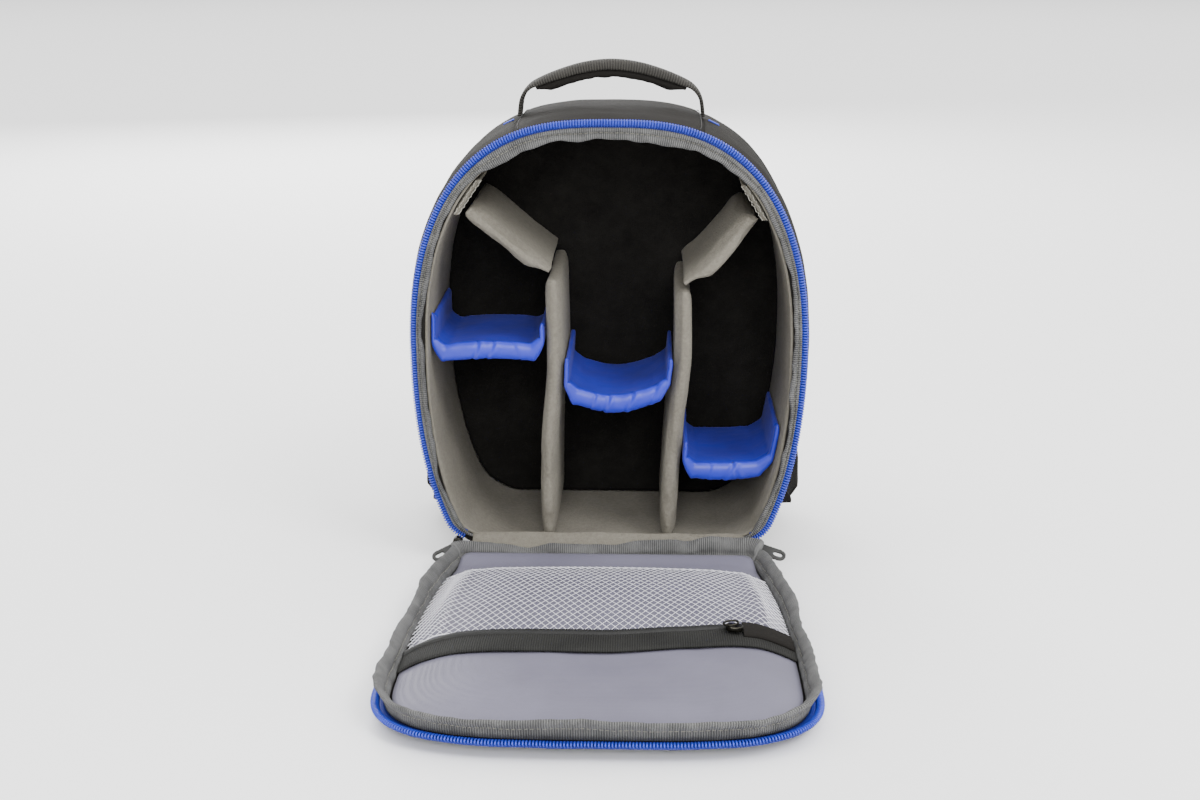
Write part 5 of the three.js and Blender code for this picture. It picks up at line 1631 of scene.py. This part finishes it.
@dataclass
class NetPocket:
    """A knitted net on the flap's lining, with a black zip along its open edge."""

    flap: FlapForm
    mouth: float = 56.0
    mouth_bow: float = 10.0
    depth: float = 118.0
    tape_width: float = 31.0
    cell_width: float = 5.35
    cell_length: float = 8.4
    nudge: float = 11.0
    yarn: float = 0.47
    ring_wire: float = 1.4
    across: tuple[float, ...] = (-1.0, -0.88, -0.7, 0.0, 0.45, 0.8, 1.0)
    shifts: tuple[float, ...] = (0.11, 0.03, -0.02, 0.0, -0.08, -0.16, -0.09)

    def tape_edge(self, across: Array) -> Array:
        """Place along the flap of the tape's edge that the net is sewn to."""
        return self.mouth + self.depth * (1 + smooth_table(self.across, self.shifts, across))

    def on_flap(self, across: Array, along: Array, rise: Array) -> Array:
        """Points over the flap's lining: across as a share of its free half width."""
        x = across * self.flap.half_room(along)
        z = self.flap.lining_top(x, along) + rise
        return np.stack([x, self.flap.form.front - along, z], axis=-1)

    def net_point(self, u: Array, v: Array, lift: float = 0.0) -> Array:
        """Points of the net.

        Args:
            u: Places across it, from -1 to 1.
            v: Places from its open mouth, 0, to the zip's tape, 1.
            lift: How far above the first layer of the net.

        Returns:
            The points.
        """
        mouth = self.mouth + self.mouth_bow * u**2
        along = mix(mouth, self.tape_edge(u) - GAP, v)
        full = 2.6 * np.sin(np.pi * np.clip(v, 0, 1)) ** 0.7 * (1 - np.abs(u) ** 6)
        ridge = 4.5 * bell((np.abs(u) - 0.86) / 0.06) * np.sin(np.pi * np.clip(0.1 + 0.8 * v, 0, 1))
        at = np.stack([u * 117, v * 118, 0 * u], axis=-1)
        slack = 0.8 * ripple(at, 32.0, 27.0) * np.sin(np.pi * np.clip(v, 0, 1))
        return self.on_flap(u, along, 1.2 + full + ridge + slack + lift)

    def strands(
        self, u_range: tuple[float, float], v_range: tuple[float, float], lift: float, shift: float
    ) -> list[tuple[Array, Array]]:
        """Runs both families of strands over a part of the net.

        Args:
            u_range: The part's ends across the net.
            v_range: The part's ends from mouth to tape.
            lift: How far above the first layer.
            shift: How far the strands are shifted across, in millimetres.

        Returns:
            The points and radii of each strand.
        """
        half = 117.0
        made = []
        slope = self.cell_width / self.cell_length
        v = np.arange(v_range[0] * self.depth, v_range[1] * self.depth + 0.01, self.cell_length / 6)
        run = slope * self.depth
        starts = np.arange(-half - run, half + run, self.cell_width) + shift
        for way in (1, -1):
            for start in starts:
                u = (start + way * slope * v) / half
                keep = (u >= u_range[0]) & (u <= u_range[1])
                if keep.sum() < 3:
                    continue
                knot = np.cos(2 * np.pi * v[keep] / (self.cell_length / 2))
                line = self.net_point(u[keep], v[keep] / self.depth, lift + 0.12 * way)
                made.append((line, self.yarn / 2 * (1 + 0.22 * knot)))
        return made

    def net(self) -> None:
        """Knits the net, with a doubled hem at its mouth and gathered ends."""
        parts = self.strands((-1, 1), (0, 1), 0.0, 0.0)
        parts += self.strands((-1, 1), (0.0, 0.075), 0.7, self.cell_width / 2)
        parts += self.strands((-1, -0.82), (0.05, 0.97), 0.8, 1.4)
        parts += self.strands((0.88, 1), (0.05, 0.97), 0.8, 1.4)
        edge = np.linspace(-1, 1, 240)
        for v, lift in ((0.0, 0.2), (1.0, 0.4)):
            line = self.net_point(edge, np.full(240, v), lift)
            parts.append((line, 0.5 + 0.12 * np.sin(np.arange(240) * 2.1)))
        points: list[Array] = []
        faces: list[list[int]] = []
        shift = 0
        for line, radii in parts:
            own, own_faces = tube(line, radii, 5, 0.7)
            points.append(own)
            faces += [[n + shift for n in face] for face in own_faces]
            shift += len(own)
        net = dress(make_object("pocket_net", np.vstack(points), faces), NET_YARN, "net_pocket")

    def strip(
        self, name: str, rows: Sequence[float], ends: tuple[float, float],
        lifts: Sequence[float], thick: float,
    ) -> bpy.types.Object:
        """Makes a strip that lies along the pocket's zip.

        Args:
            name: The piece's name.
            rows: Places across the tape's width, from 0 at the net.
            ends: Where it begins and ends across the flap.
            lifts: Height over the lining for each row.
            thick: Its thickness.

        Returns:
            The piece, not yet dressed.
        """
        across = np.linspace(ends[0], ends[1], 220)
        at = np.stack([across * 117, 0 * across, 0 * across], axis=1)
        soft = 0.5 * ripple(at, 20.0, 41.0)
        over = []
        for share, lift in zip(rows, lifts):
            along = self.tape_edge(across) + self.tape_width * share + soft * (share > 0.9)
            over.append(self.on_flap(across, along, lift + 0.3 * soft))
        under = [row - [0, 0, thick] for row in reversed(over)]
        return loft(name, np.stack([*over, *under], axis=1))

    def build(self) -> None:
        """Makes the net, the zip's tape and coil, its cover, slider and ring."""
        self.net()
        rows = (0.01, 0.08, 0.2, 0.28, 0.34, 0.42, 0.6, 0.8, 0.93, 1.0)
        lifts = (2.3, 3.0, 3.2, 2.9, 2.6, 2.5, 2.6, 2.6, 2.5, 1.9)
        dress(self.strip("pocket_tape", rows, (-1, 1), lifts, 1.2), BLACK_TAPE, "pocket_zip_tape")
        room = float(self.flap.half_room(np.array(self.mouth + self.depth)))
        cover_start = 1 - 31.0 / room
        coil_rows, coil_lifts = (0.13, 0.16, 0.22, 0.28, 0.31), (2.9, 3.8, 4.2, 3.8, 2.9)
        coil = self.strip("pocket_coil", coil_rows, (-1, cover_start), coil_lifts, 0.8)
        dress(coil, BLACK_COIL, "pocket_zip_coil")
        rows, lifts = (-0.02, 0.0, 0.1, 0.3, 0.5, 0.62, 0.64), (2.6, 4.2, 5.0, 5.2, 4.6, 4.2, 3.2)
        cover = self.strip("pocket_cover", rows, (cover_start, 0.995), lifts, 0.9)
        dress(cover, SHELL_POLYESTER, "pocket_zip_cover")
        self.slider()

    def slider(self) -> None:
        """Makes the slider at the end of the zip, and its ring pull."""
        body = remeshed("pocket_slider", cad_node("pocket_zip_slider"), 0.6, 3)
        set_coordinates(body, coordinates(body) + [self.nudge, 0, 0.4])
        dress(body, LACQUERED_ZINC, "pocket_zip_slider")
        lo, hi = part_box("pocket_zip_ring")
        centre = (np.array(lo) + np.array(hi)) / 2 / MM + [self.nudge, 0, 0.4]
        angle = np.linspace(0, 2 * np.pi, 40, endpoint=False)
        line = centre + np.stack([4.6 * np.cos(angle), 3.6 * np.sin(angle), 0.5 * np.cos(angle)], axis=1)
        out, turns, wire = unit(line - centre), np.arange(8) * math.pi / 4, self.ring_wire / 2
        ring = np.stack([line + out * (wire * math.cos(a)) + [0, 0, wire * math.sin(a)] for a in turns], axis=1)
        dress(loft("pocket_ring", ring, closed=True), LACQUERED_ZINC, "pocket_zip_ring")


# Sliders and pulls of the main zip


@dataclass
class MainPulls:
    """The two sliders where the main zip's halves meet, each with a moulded pull."""

    roll: float = 0.55
    shrink: tuple[float, float, float] = (0.8, 1.0, 0.72)
    sink: float = 2.2
    hang: dict[str, float] = field(default_factory=lambda: {"left": 0.5, "right": 0.14})

    def hung(self, points: Array, angle: float) -> Array:
        """Swings a pull's points down round the end that its slider holds.

        Args:
            points: The points.
            angle: How far it swings.

        Returns:
            The swung points.
        """
        side = math.copysign(1.0, points[:, 0].mean())
        held = points[np.abs(points[:, 0]) < np.abs(points[:, 0]).min() + 2].mean(axis=0)
        off = points - held
        swung = off.copy()
        swung[:, 0] = off[:, 0] * math.cos(angle) + side * off[:, 2] * math.sin(angle)
        swung[:, 2] = off[:, 2] * math.cos(angle) - side * off[:, 0] * math.sin(angle)
        low = held[2] + swung[:, 2].min()
        LOG.info("pull held at %s reaches down to %.1f mm", held.round(1), low)
        return held + swung

    def turn(self, pull: bpy.types.Object) -> None:
        """Rolls a pull round its own length, so that its face hangs forwards."""
        points = coordinates(pull)
        centre = points.mean(axis=0)
        along = np.linalg.svd(points[::7] - centre, full_matrices=False)[2][0]
        along *= np.sign(along[0])
        off = points - centre
        beside = np.cross(along, off)
        turned = off * math.cos(self.roll) + beside * math.sin(self.roll)
        turned += np.outer(off @ along, along) * (1 - math.cos(self.roll))
        turned[:, 2] += max(0.0, 1.0 - (centre[2] + turned[:, 2].min()))
        set_coordinates(pull, centre + turned)

    def build(self) -> None:
        """Makes sliders and pulls from their plain solids."""
        for side in ("right", "left"):
            body = remeshed(f"main_slider_{side}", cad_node(f"zip_slider_{side}"), 0.55, 4)
            points = coordinates(body)
            foot = points.mean(axis=0) - [0, 0, self.sink]
            set_coordinates(body, foot + (points - points.mean(axis=0)) * self.shrink)
            dress(body, LACQUERED_ZINC, f"zip_slider_{side}")
            pull = remeshed(f"main_pull_{side}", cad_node(f"zip_pull_{side}"), 0.45, 3)
            self.turn(pull)
            set_coordinates(pull, self.hung(coordinates(pull), self.hang[side]))
            dress(pull, ACETAL, f"zip_pull_{side}")


# Dividers and shelves in the room


@dataclass
class Dividers:
    """Padded dividers: foam in brushed loop fabric, sewn at the edges and slightly worn."""

    voxel: float = 4.5
    pressure: float = 3.5
    cap: float = 1.9
    shrink: float = 2.2
    foot: float = 3.0
    tread: float = 8.0
    raised: dict[str, tuple[float, float]] = field(
        default_factory=lambda: {"tall_divider_left": (165.0, 9.0), "tall_divider_right": (155.0, 11.0)}
    )
    reach: dict[int, float] = field(default_factory=lambda: {-1: 7.0, 1: 8.0})
    slopes: dict[int, tuple[tuple[float, float], tuple[float, float]]] = field(
        default_factory=lambda: {-1: ((-104.0, 255.0), (-42.0, 215.0)), 1: ((110.0, 254.0), (53.0, 209.0))}
    )

    def pad(self, node: str, fine: float, sim: bool) -> None:
        """Makes one pad from its plain solid.

        Args:
            node: The plain solid.
            fine: The size of one face.
            sim: Whether its cover is filled by simulation.
        """
        piece = remeshed(f"{node}_pad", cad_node(node), fine, 3)
        if sim:
            set_coordinates(piece, coordinates(piece) - normals_of(piece) * self.shrink)
            inflate(piece, self.pressure, self.cap)
        points, normals = coordinates(piece), normals_of(piece)
        soft = 0.45 * ripple(points, 38.0, 31.0) + 0.12 * ripple(points, 11.0, 35.0)
        points = points + normals * soft[:, None]
        if node.startswith("sloping_divider"):
            points = self.tucked(points, -1 if node.endswith("left") else 1)
        if node in self.raised:
            start, lift = self.raised[node]
            points[:, 2] += lift * smooth_step((points[:, 2] - start) / 30)
            points[:, 2] -= self.foot * smooth_step((30 - points[:, 2]) / 18)
            face = smooth_step((points[:, 1].min() + 45 - points[:, 1]) / 40)
            points[:, 1] -= self.tread * face * smooth_step((75 - points[:, 2]) / 75)
        set_coordinates(piece, points)
        dress(subdivide(piece), LOOP_LINING, node)

    def tucked(self, points: Array, side: int) -> Array:
        """Squeezes the low end of a sloping pad, where the tall divider's top holds it.

        Args:
            points: The pad's points.
            side: -1 on the left and 1 on the right.

        Returns:
            The points with the end squeezed.
        """
        start, end = self.slopes[side]
        run = unit(np.array(end) - np.array(start))
        off = points[:, [0, 2]] - np.array(start)
        share = off @ run / np.linalg.norm(np.array(end) - np.array(start))
        across = np.array([-run[1], run[0]]) * -side
        height = off @ across
        squeeze = 0.45 * smooth_step((share - 0.78) / 0.24)
        reach = self.reach[side] * smooth_step((0.3 - share) / 0.3)
        flat = points[:, [0, 2]] - across * (height * squeeze)[:, None] - np.outer(6.0 * squeeze + reach, run)
        points[:, 0], points[:, 2] = flat[:, 0], flat[:, 1]
        points[:, 1] += 3.0 * squeeze * (points[:, 1] < 0)
        return points

    def tab_stitches(self, side: str) -> None:
        """Sews the two rows of zigzag along the cut edge of a tab."""
        node = coordinates(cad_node(f"sloping_tab_{side}"))
        low, high = node.min(axis=0), node.max(axis=0)
        feet = node[node[:, 2] < low[2] + 3].mean(axis=0), node[node[:, 2] > high[2] - 3].mean(axis=0)
        share = np.linspace(0.04, 0.96, 40)
        line = np.stack([mix(feet[0][k], feet[1][k], share) for k in range(3)], axis=1)
        line[:, 1] = low[1] - 0.9
        inward = 1.0 if side == "left" else -1.0
        up = np.tile([0.0, -1.0, 0.0], (40, 1))
        zigzag = 0.9 * np.sign(np.sin(np.arange(40) * np.pi / 2 + 0.7))
        for row, off in (("wall", -1.6), ("room", 1.6)):
            path = line + np.stack([inward * off + zigzag * 0.4, 0 * share, 0 * share], axis=1)
            stitches(f"tab_stitches_{side}_{row}", path, up, PALE_THREAD, length=1.6, gap=0.5, thick=0.7)

    def build(self) -> None:
        """Makes the tall and sloping pads and the tabs that hold them."""
        for side in ("left", "right"):
            self.pad(f"tall_divider_{side}", self.voxel, True)
            self.pad(f"sloping_divider_{side}", self.voxel, True)
            self.pad(f"sloping_tab_{side}", 1.4, False)
            self.tab_stitches(side)


@dataclass
class BlueShelves:
    """Small shelves: foam in glossy nylon that creases along the front, with end tabs."""

    voxel: float = 1.3
    band: float = 3.6
    square: float = 2.0
    creases: dict[str, tuple[tuple[float, float, float], ...]] = field(
        default_factory=lambda: {
            "blue_shelf_left": ((0.36, 0.5, 1.0), (0.47, 0.7, 0.8), (0.8, -0.6, 0.5)),
            "blue_shelf_middle": ((0.22, 0.6, 0.8), (0.36, 0.6, 1.1), (0.55, 0.7, 1.1), (0.75, 0.5, 0.7)),
            "blue_shelf_right": ((0.25, 0.4, 0.6), (0.42, 0.9, 1.1), (0.6, -0.5, 0.6)),
        }
    )

    def shelf(self, node: str) -> None:
        """Makes one shelf from its plain solid.

        Args:
            node: The plain solid.
        """
        piece = remeshed(f"{node}_pad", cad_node(node), self.voxel, 4)
        points, normals = coordinates(piece), normals_of(piece)
        low, high = points.min(axis=0), points.max(axis=0)
        share = (points[:, 0] - low[0]) / (high[0] - low[0])
        front = smooth_step((low[1] + 26 - points[:, 1]) / 22)
        folds = np.zeros(len(points))
        for place, slant, deep in self.creases[node]:
            off = (share - place) * (high[0] - low[0]) - slant * (points[:, 2] - low[2])
            off += 0.25 * (points[:, 1] - low[1])
            folds += deep * (0.5 * bell((off - 2.4) / 1.8) - 0.75 * bell(off / 0.9))
        soft = 0.5 * ripple(points, 24.0, 51.0) + 0.08 * ripple(points, 7.0, 53.0)
        edge = smooth_step((low[1] + 11 - points[:, 1]) / 9) * normals[:, 2]
        seam = bell((points[:, 1] - low[1] - 13) / 1.3) * np.maximum(normals[:, 2], 0)
        points[:, 2] += self.band * np.where(edge > 0, edge, 0.35 * edge)
        side = np.abs(share - 0.5) * 2
        under = smooth_step((low[2] + 16 - points[:, 2]) / 10)
        points[:, 2] -= self.square * smooth_step((side - 0.68) / 0.26) * under
        set_coordinates(piece, points + normals * (folds * front + soft - 0.9 * seam)[:, None])
        project_cloth(piece)
        dress(piece, BLUE_NYLON, node)

    def build(self) -> None:
        """Makes the three shelves."""
        for node in self.creases:
            self.shelf(node)


# Handle, straps and tabs


@dataclass
class Handle:
    """Grab handle: ribbed webbing folded over a soft grip, sewn into the top's seams."""

    form: Shell
    span: float = 130.0
    rise: float = 38.0
    width: float = 26.0
    thickness: float = 2.6
    place: float = -2.0
    fold: float = 5.0
    grip_length: float = 110.0
    grip_width: float = 21.0
    grip: float = 8.0
    across: tuple[float, ...] = (1.0, 0.975, 0.91, 0.8, 0.55, 0.28, 0.0)
    ups: tuple[float, ...] = (0.0, 0.3, 0.5, 0.64, 0.82, 0.95, 1.0)
    folds: tuple[float, ...] = (0.0, 0.0, 0.2, 0.6, 0.9, 1.0, 1.0)

    def build(self) -> None:
        """Makes the webbing, the grip and the bartacks at its feet."""
        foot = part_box("handle_webbing")[0][2] / MM
        half = np.stack([np.array(self.across) * self.span / 2, foot + self.rise * np.array(self.ups)], axis=1)
        line = spline(np.vstack([half, half[-2::-1] * [-1, 1]]), 120)
        away = tangents_of(line)[:, ::-1] * [1, -1]
        away = np.where(away[:, 1:] < 0, -away, away)
        away[0], away[-1] = (1, 0), (-1, 0)
        order = np.argsort(self.across)
        reach = np.abs(line[:, 0]) / (self.span / 2)
        fold = np.interp(reach, np.array(self.across)[order], np.array(self.folds)[order])
        halves = mix(self.width, self.grip_width + 2, fold) / 2

        def section(rows: Sequence[tuple[float, float]], shift: Array | float = 0.0) -> Array:
            """Sections across the handle: across as a share, offset away from its line."""
            made = []
            for across, offset in rows:
                drop = offset + shift - self.fold * fold * across**2
                flat = line + away * np.asarray(drop)[:, None]
                made.append(np.stack([flat[:, 0], self.place + across * halves, flat[:, 1]], axis=1))
            return np.stack(made, axis=1)

        web = self.thickness / 2
        columns = np.linspace(-1, 1, 13)
        edge = web * (1 - 0.5 * np.abs(columns) ** 8)
        rows = [*zip(columns, edge), *zip(columns[::-1], -edge[::-1])]
        dress(loft("handle_strap", section(rows)), WEBBING, "handle_webbing")
        self.make_grip(line, section, web)
        self.bartacks()

    def make_grip(self, line: Array, section: Callable[..., Array], web: float) -> None:
        """Makes the soft roll under the webbing, gathered along its under side."""
        keep = np.abs(line[:, 0]) < self.grip_length / 2
        at = np.stack([line[:, 0], 0 * line[:, 0], 0 * line[:, 0]], axis=1)
        end = smooth_step((self.grip_length / 2 - np.abs(line[:, 0])) / 10)
        deep = self.grip * (0.4 + 0.6 * end) * (1 + 0.1 * ripple(at, 9.0, 61.0))
        pucker = 0.7 * ripple(at, 4.5, 63.0) + 0.5 * ripple(at, 12.0, 65.0)
        rows = [(a, -web - 1.5 * GAP + 0 * deep) for a in (-0.88, -0.5, 0.0, 0.5, 0.88)]
        under = ((0.95, 0.3, 0.1), (0.9, 0.65, 0.4), (0.66, 0.92, 0.8), (0.3, 1.0, 1.0), (0.0, 1.0, 1.0))
        for a, d, p in under:
            rows.append((a, -web - d * deep + p * pucker))
        rows += [(-a, row) for a, row in reversed(rows[5:-1])]
        rings = np.stack([section([(a, offset)])[:, 0] for a, offset in rows], axis=1)[keep]
        dress(loft("handle_roll", rings), SHELL_POLYESTER, "handle_grip")

    def bartacks(self) -> None:
        """Sews the small blue bartacks beside the handle's feet."""
        for name, side in (("right", 1.0), ("left", -1.0)):
            lines = []
            for k in range(6):
                y = self.place - 12.5 + 0.75 * k
                x = np.linspace(self.span / 2 + 2.5, self.span / 2 + 9.5, 12)
                shell = self.form.shell
                share = np.array([shell.share_at_crown(float(a)) for a in x])
                depth = np.full(12, (y - self.form.front) / (self.form.wall_back - self.form.front))
                line = self.form.wall_point(share, depth, True)
                line[:, 0] *= side
                lines.append(line + [0, 0, 0.2])
            up = np.tile([0.35 * side, 0.0, 1.0], (12, 1))
            for k, line in enumerate(lines):
                row = f"handle_bartack_{name}_{k}"
                stitches(row, line, up, BLUE_THREAD, length=2.2, gap=-0.3, thick=0.85)


@dataclass
class Straps:
    """Shoulder straps on the back, their adjusters, webbing and cloth wing tabs."""

    pad_voxel: float = 3.6
    adjuster_voxel: float = 0.8
    wing_voxel: float = 1.2
    pressure: float = 3.0
    cap: float = 1.2

    def build(self) -> None:
        """Makes both sides."""
        for name in ("left", "right"):
            pad = remeshed(f"strap_pad_{name}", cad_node(f"shoulder_strap_{name}"), self.pad_voxel, 2)
            inflate(pad, self.pressure, self.cap)
            project_cloth(pad)
            dress(subdivide(pad), SHELL_POLYESTER, f"shoulder_strap_{name}")
            frame = remeshed(f"ladder_lock_{name}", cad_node(f"strap_adjuster_{name}"), self.adjuster_voxel, 3)
            dress(frame, ACETAL, f"strap_adjuster_{name}")
            wing = remeshed(f"wing_cloth_{name}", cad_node(f"wing_tab_{name}"), self.wing_voxel, 3)
            project_cloth(wing)
            dress(wing, SHELL_POLYESTER, f"wing_tab_{name}")
            self.band(name)

    def band(self, name: str) -> None:
        """Makes the webbing from the wing tab to the adjuster, along its plain solid."""
        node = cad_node(f"strap_webbing_{name}")
        points = coordinates(node)
        piece = bpy.data.objects.new(f"strap_band_{name}", node.data.copy())
        bpy.context.scene.collection.objects.link(piece)
        piece.data.materials.clear()
        merge = bmesh.new()
        merge.from_mesh(piece.data)
        bmesh.ops.remove_doubles(merge, verts=merge.verts, dist=1e-5)
        merge.to_mesh(piece.data)
        merge.free()
        piece.data.shade_smooth()
        project_cloth(piece)
        LOG.info("webbing %s spans %s mm", name, np.ptp(points, axis=0).round())
        dress(subdivide(piece, 2), WEBBING, f"strap_webbing_{name}")


# Studio


@dataclass(frozen=True)
class Light:
    """One soft square light, in metres and watts."""

    name: str
    place: tuple[float, float, float]
    aim: tuple[float, float, float]
    size: float
    power: float

    def hang(self) -> None:
        """Hangs the light."""
        data = bpy.data.lights.new(self.name, "AREA")
        data.shape, data.size, data.energy = "SQUARE", self.size, self.power
        lamp = bpy.data.objects.new(self.name, data)
        bpy.context.scene.collection.objects.link(lamp)
        lamp.location = self.place
        lamp.rotation_euler = (Vector(self.aim) - Vector(self.place)).to_track_quat("-Z", "Y").to_euler()


@dataclass
class Studio:
    """Camera at the photograph's place, a pale floor and soft light."""

    eye: tuple[float, float, float] = (30.0, -1222.0, 448.0)
    pitch: float = 15.8
    yaw: float = 1.79
    lens: float = 51.0
    floor: str = "fbfbfb"
    floor_size: float = 14000.0
    floor_height: float = -0.4
    glow: float = 0.52
    lights: tuple[Light, ...] = (
        Light("ceiling", (0, 4.0, 5.0), (0, 4.0, 0), 14.0, 1400.0),
        Light("front", (0.1, -2.3, 1.05), (0, -0.1, 0.15), 1.0, 48.0),
        Light("key", (1.2, -1.3, 1.8), (0, -0.1, 0.1), 0.9, 36.0),
        Light("rear", (-0.6, 2.2, 1.3), (0, 0, 0.15), 1.4, 60.0),
    )

    def camera(self) -> None:
        """Sets the camera."""
        data = bpy.data.cameras.new("camera")
        data.lens, data.sensor_width = self.lens, 36.0
        data.clip_start, data.clip_end = 0.01, 100.0
        camera = bpy.data.objects.new("camera", data)
        bpy.context.scene.collection.objects.link(camera)
        camera.location = Vector(self.eye) * MM
        pitch, yaw = math.radians(self.pitch), math.radians(self.yaw)
        ahead = Vector((-math.sin(yaw) * math.cos(pitch), math.cos(yaw) * math.cos(pitch), -math.sin(pitch)))
        camera.rotation_euler = ahead.to_track_quat("-Z", "Y").to_euler()
        bpy.context.scene.camera = camera

    def ground(self) -> None:
        """Lays the floor."""
        size = self.floor_size
        corners = ((-size, -size), (size, -size), (size, size), (-size, size))
        points = np.array([[x, y, self.floor_height] for x, y in corners])
        floor = make_object("floor", points, [[0, 1, 2, 3]])
        material = bpy.data.materials.new("painted studio floor")
        material.use_nodes = True
        tree = material.node_tree
        tree.nodes.clear()
        paint = {"Base Color": linear(self.floor), "Roughness": 0.9}
        shader = add_node(tree, "ShaderNodeBsdfPrincipled", paint)
        add_node(tree, "ShaderNodeOutputMaterial", links={"Surface": shader.outputs[0]})
        floor.data.materials.append(material)

    def build(self) -> None:
        """Makes the world, the lights, the floor and the camera."""
        world = bpy.data.worlds.new("studio")
        bpy.context.scene.world = world
        world.use_nodes = True
        tree = world.node_tree
        tree.nodes.clear()
        glow = add_node(tree, "ShaderNodeBackground", {"Color": (1, 1, 1, 1), "Strength": self.glow})
        add_node(tree, "ShaderNodeOutputWorld", links={"Surface": glow.outputs[0]})
        for light in self.lights:
            light.hang()
        self.ground()
        self.camera()


NODES: dict[str, bpy.types.Object] = {}


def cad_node(name: str) -> bpy.types.Object:
    """Gives a plain solid of the frame by its name."""
    return NODES[name]


def main() -> None:
    """Builds the bag's sub-assemblies in order and reports each piece."""
    logging.basicConfig(level=logging.INFO, format="%(message)s")
    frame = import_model()
    NODES.update(frame["nodes"])
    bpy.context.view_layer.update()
    form = Shell()
    flap = FlapForm(form)
    Studio().build()
    for part in (
        Walls(form), Back(form), RoomLining(form), OpeningSeam(form), Flap(flap), FlapSeam(flap),
        NetPocket(flap), MainPulls(), Dividers(), BlueShelves(), Handle(form), Straps(),
    ):
        part.build()
    bpy.context.view_layer.update()


if __name__ == "__main__":
    main()
